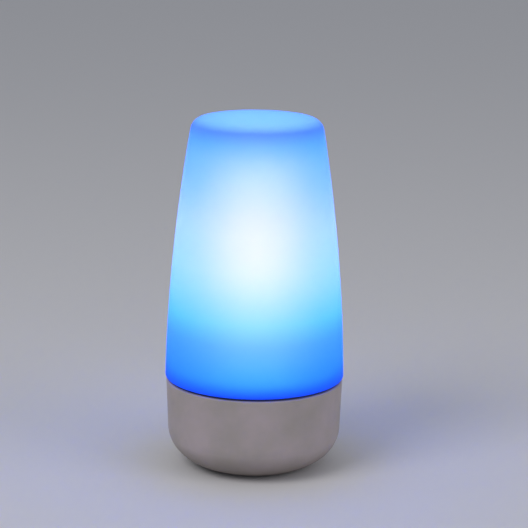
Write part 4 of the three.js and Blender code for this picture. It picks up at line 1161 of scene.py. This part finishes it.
dish_inner = TUBE_RADIUS + 0.4
dish_start = dish_inner + 1.6
dish_span = SKIRT_OUTER - dish_start
dish_curve = [
    (dish_start + dish_span * step / DISH_STEPS, DISH_BOTTOM + DISH_WALL + DISH_RISE * step / DISH_STEPS)
    for step in range(DISH_STEPS, -1, -1)
]
skirt_inner = SKIRT_OUTER - DISH_WALL
dish_outline = softened([
    (dish_inner, DISH_BOTTOM), (dish_start, DISH_BOTTOM), (skirt_inner, DISH_BOTTOM + DISH_RISE - 0.2),
    (skirt_inner, FLANGE_BOTTOM), (SKIRT_OUTER, FLANGE_BOTTOM), *dish_curve,
    (dish_inner, DISH_BOTTOM + DISH_WALL),
], 0.3)
dish_holes = [put(rod(1.3, 48, 53, flare=0.3), x, y) for x, y in REFLECTOR_SCREWS]
dish_shape = boolean(turn(dish_outline, 160), dish_holes, "DIFFERENCE")
gloss_white, *_ = moulded(
    "gloss_white_plastic", pale=(0.86, 0.87, 0.88), deep=(0.81, 0.82, 0.84), patch=25, grain=0.5, depth=0.006,
    rough=(0.16, 0.26), Coat_Weight=0.2, Coat_Roughness=0.1,
)
fit("reflector_skin", dish_shape, gloss_white, "white_plastic", "base", "reflector")
drive("reflector_screw", REFLECTOR_SCREWS, REFLECTOR_SCREW_SEAT, REFLECTOR_SCREW, twist=25, down=True)


# ---- Rim gasket ------------------------------------------------------------------------------------------
# A soft dark ring that lies on the base's rim, under the shade's lip. It stops light at the seam and takes up
# play when the shade is twisted home. The shade takes it along when it is lifted off.
GASKET_INNER = 47.6
GASKET_OUTER = 49
SEAM_HEIGHT = 50.5
LIP = SEAM_HEIGHT + 0.6

gasket_low, gasket_high = RIM + CLEARANCE, LIP - CLEARANCE
gasket_outline = softened([
    (GASKET_INNER, gasket_low), (GASKET_OUTER, gasket_low), (GASKET_OUTER, gasket_high),
    (GASKET_INNER, gasket_high),
], 0.2)
dark_silicone, *_ = moulded(
    "dark_silicone", pale=(0.03, 0.03, 0.034), deep=(0.018, 0.018, 0.02), patch=8, grain=0.3, depth=0.01,
    rough=(0.6, 0.85),
)
fit("rim_gasket_skin", turn(gasket_outline, 160), dark_silicone, "dark_rubber", "gasket", "rim_gasket")


# ---- Shade -----------------------------------------------------------------------------------------------
# The tall opal shade, blow-moulded in milky plastic: a bulging taper, a rounded shoulder and a low crown. Its
# neck has three lugs for the bayonet. The light inside it tints it azure, deeper towards the neck.
LIP_RADIUS = 50.5
TOP_RADIUS = 37.2
BULGE = 10.5
SIDE_TOP = 191
SHADE_TOP = 200
SHADE_WALL = 2
SHOULDER = 7.5
CROWN = math.radians(5.7)
NECK_INNER = 44.6
NECK_OUTER = 46.8
NECK_BOTTOM = LIP - 3.4
LUG_INNER = 42.2
LUG_TOP = 50
LOCK_TURN = 36
LIP_ROUND = 1.2
OPAL_BOTTOM, OPAL_TOP = 50, 200
# Base colours up the shade: the white opal is painted with the azure light inside it, deep at the neck and
# paler where the core shines brightest.
OPAL_PAINTED_LIGHT = [
    (50, (0.02, 0.08, 0.3)), (53, (0.06, 0.34, 0.9)), (60, (0.12, 0.4, 0.95)), (76, (0.26, 0.42, 0.96)),
    (96, (0.45, 0.5, 0.97)), (120, (0.6, 0.58, 0.98)), (150, (0.6, 0.58, 0.98)), (180, (0.46, 0.56, 0.97)),
    (195, (0.26, 0.44, 0.95)), (199, (0.5, 0.56, 0.97)),
]
OPAL_GLOW = [
    (50, (0, 0, 0.02)), (52, (0, 0.02, 0.35)), (56, (0, 0.07, 0.6)), (62, (0, 0.1, 0.65)),
    (80, (0, 0.14, 0.55)), (92, (0.01, 0.26, 0.55)), (110, (0.07, 0.28, 0.5)), (140, (0.1, 0.26, 0.45)),
    (164, (0.04, 0.19, 0.45)), (188, (0.01, 0.14, 0.45)), (195, (0.01, 0.05, 0.4)), (199, (0.06, 0.25, 0.45)),
]


def shade_radius(height):
    along = (height - SEAM_HEIGHT) / (SIDE_TOP - SEAM_HEIGHT)
    return LIP_RADIUS + (TOP_RADIUS - LIP_RADIUS) * along + BULGE * along * (1 - along)


def shade_surface(start, inset, steps):
    """The side from a height up, the shoulder and the crown, to the axis, moved in by an inset."""
    lean = math.atan(shade_radius(SIDE_TOP) - shade_radius(SIDE_TOP + 1))
    crown_edge = shade_radius(SIDE_TOP) - SHOULDER * (math.cos(lean) - math.sin(CROWN))
    shoulder_height = SHADE_TOP - crown_edge * math.tan(CROWN / 2) - SHOULDER * math.cos(CROWN)
    side_end = shoulder_height + SHOULDER * math.sin(lean)
    centre = (shade_radius(side_end) - SHOULDER * math.cos(lean), shoulder_height)
    heights = [start + (side_end - start) * i / steps for i in range(steps)]
    side = [(shade_radius(height) - inset, height) for height in heights]
    turned_in = SHOULDER - inset
    shoulder = arc(centre, (turned_in, turned_in), math.degrees(lean), 90 - math.degrees(CROWN), 12)
    crown_radius = crown_edge / math.sin(CROWN)
    crown_centre = (0, SHADE_TOP - crown_radius)
    crown_reach = crown_radius - inset
    top = arc(crown_centre, (crown_reach, crown_reach), 90 - math.degrees(CROWN), 90, 6)[1:]
    return [*side, *shoulder, *top[:-1], (0, top[-1][1])]


neck = softened([
    (NECK_INNER, LIP + 2.4), (NECK_INNER, NECK_BOTTOM), (NECK_OUTER, NECK_BOTTOM), (NECK_OUTER, LIP),
], 0.3, ring=False)
shade_outline = [
    *reversed(shade_surface(LIP + 5.4, SHADE_WALL, 60)),
    *neck,
    *arc((LIP_RADIUS - LIP_ROUND, LIP + LIP_ROUND), (LIP_ROUND, LIP_ROUND), -90, 0, 6),
    *shade_surface(LIP + 3, 0, 60),
]
lugs = [
    arc_block(LUG_INNER, NECK_INNER + 0.8, NECK_BOTTOM + 0.2, LUG_TOP, angle - LOCK_TURN, LUG_ARC)
    for angle in HOOK_ANGLES
]
shade_shape = boolean(turn(shade_outline, 192), lugs, "UNION")

opal, opal_shader, place = new_material(
    "glowing_opal", Roughness=1, IOR=1.45, Transmission_Weight=0.8, Emission_Strength=1,
)
height = place.node("SeparateXYZ", {"Vector": place}, output="Z")
up = (height - OPAL_BOTTOM * MM) / ((OPAL_TOP - OPAL_BOTTOM) * MM)


def by_height(stops):
    """A colour that changes up the shade, from pairs of a height and a colour."""
    shares = [((z - OPAL_BOTTOM) / (OPAL_TOP - OPAL_BOTTOM), colour) for z, colour in stops]
    return up.node("ValToRGB", {"Fac": up}, stops=shares)


# Painted light: the base colour carries the azure of the light inside, besides the glow that the emission
# gives.
feed(opal_shader, "Base Color", by_height(OPAL_PAINTED_LIGHT))
feed(opal_shader, "Emission Color", by_height(OPAL_GLOW))
fit("shade_skin", shade_shape, opal, "opal_shade", "shade", "shade")
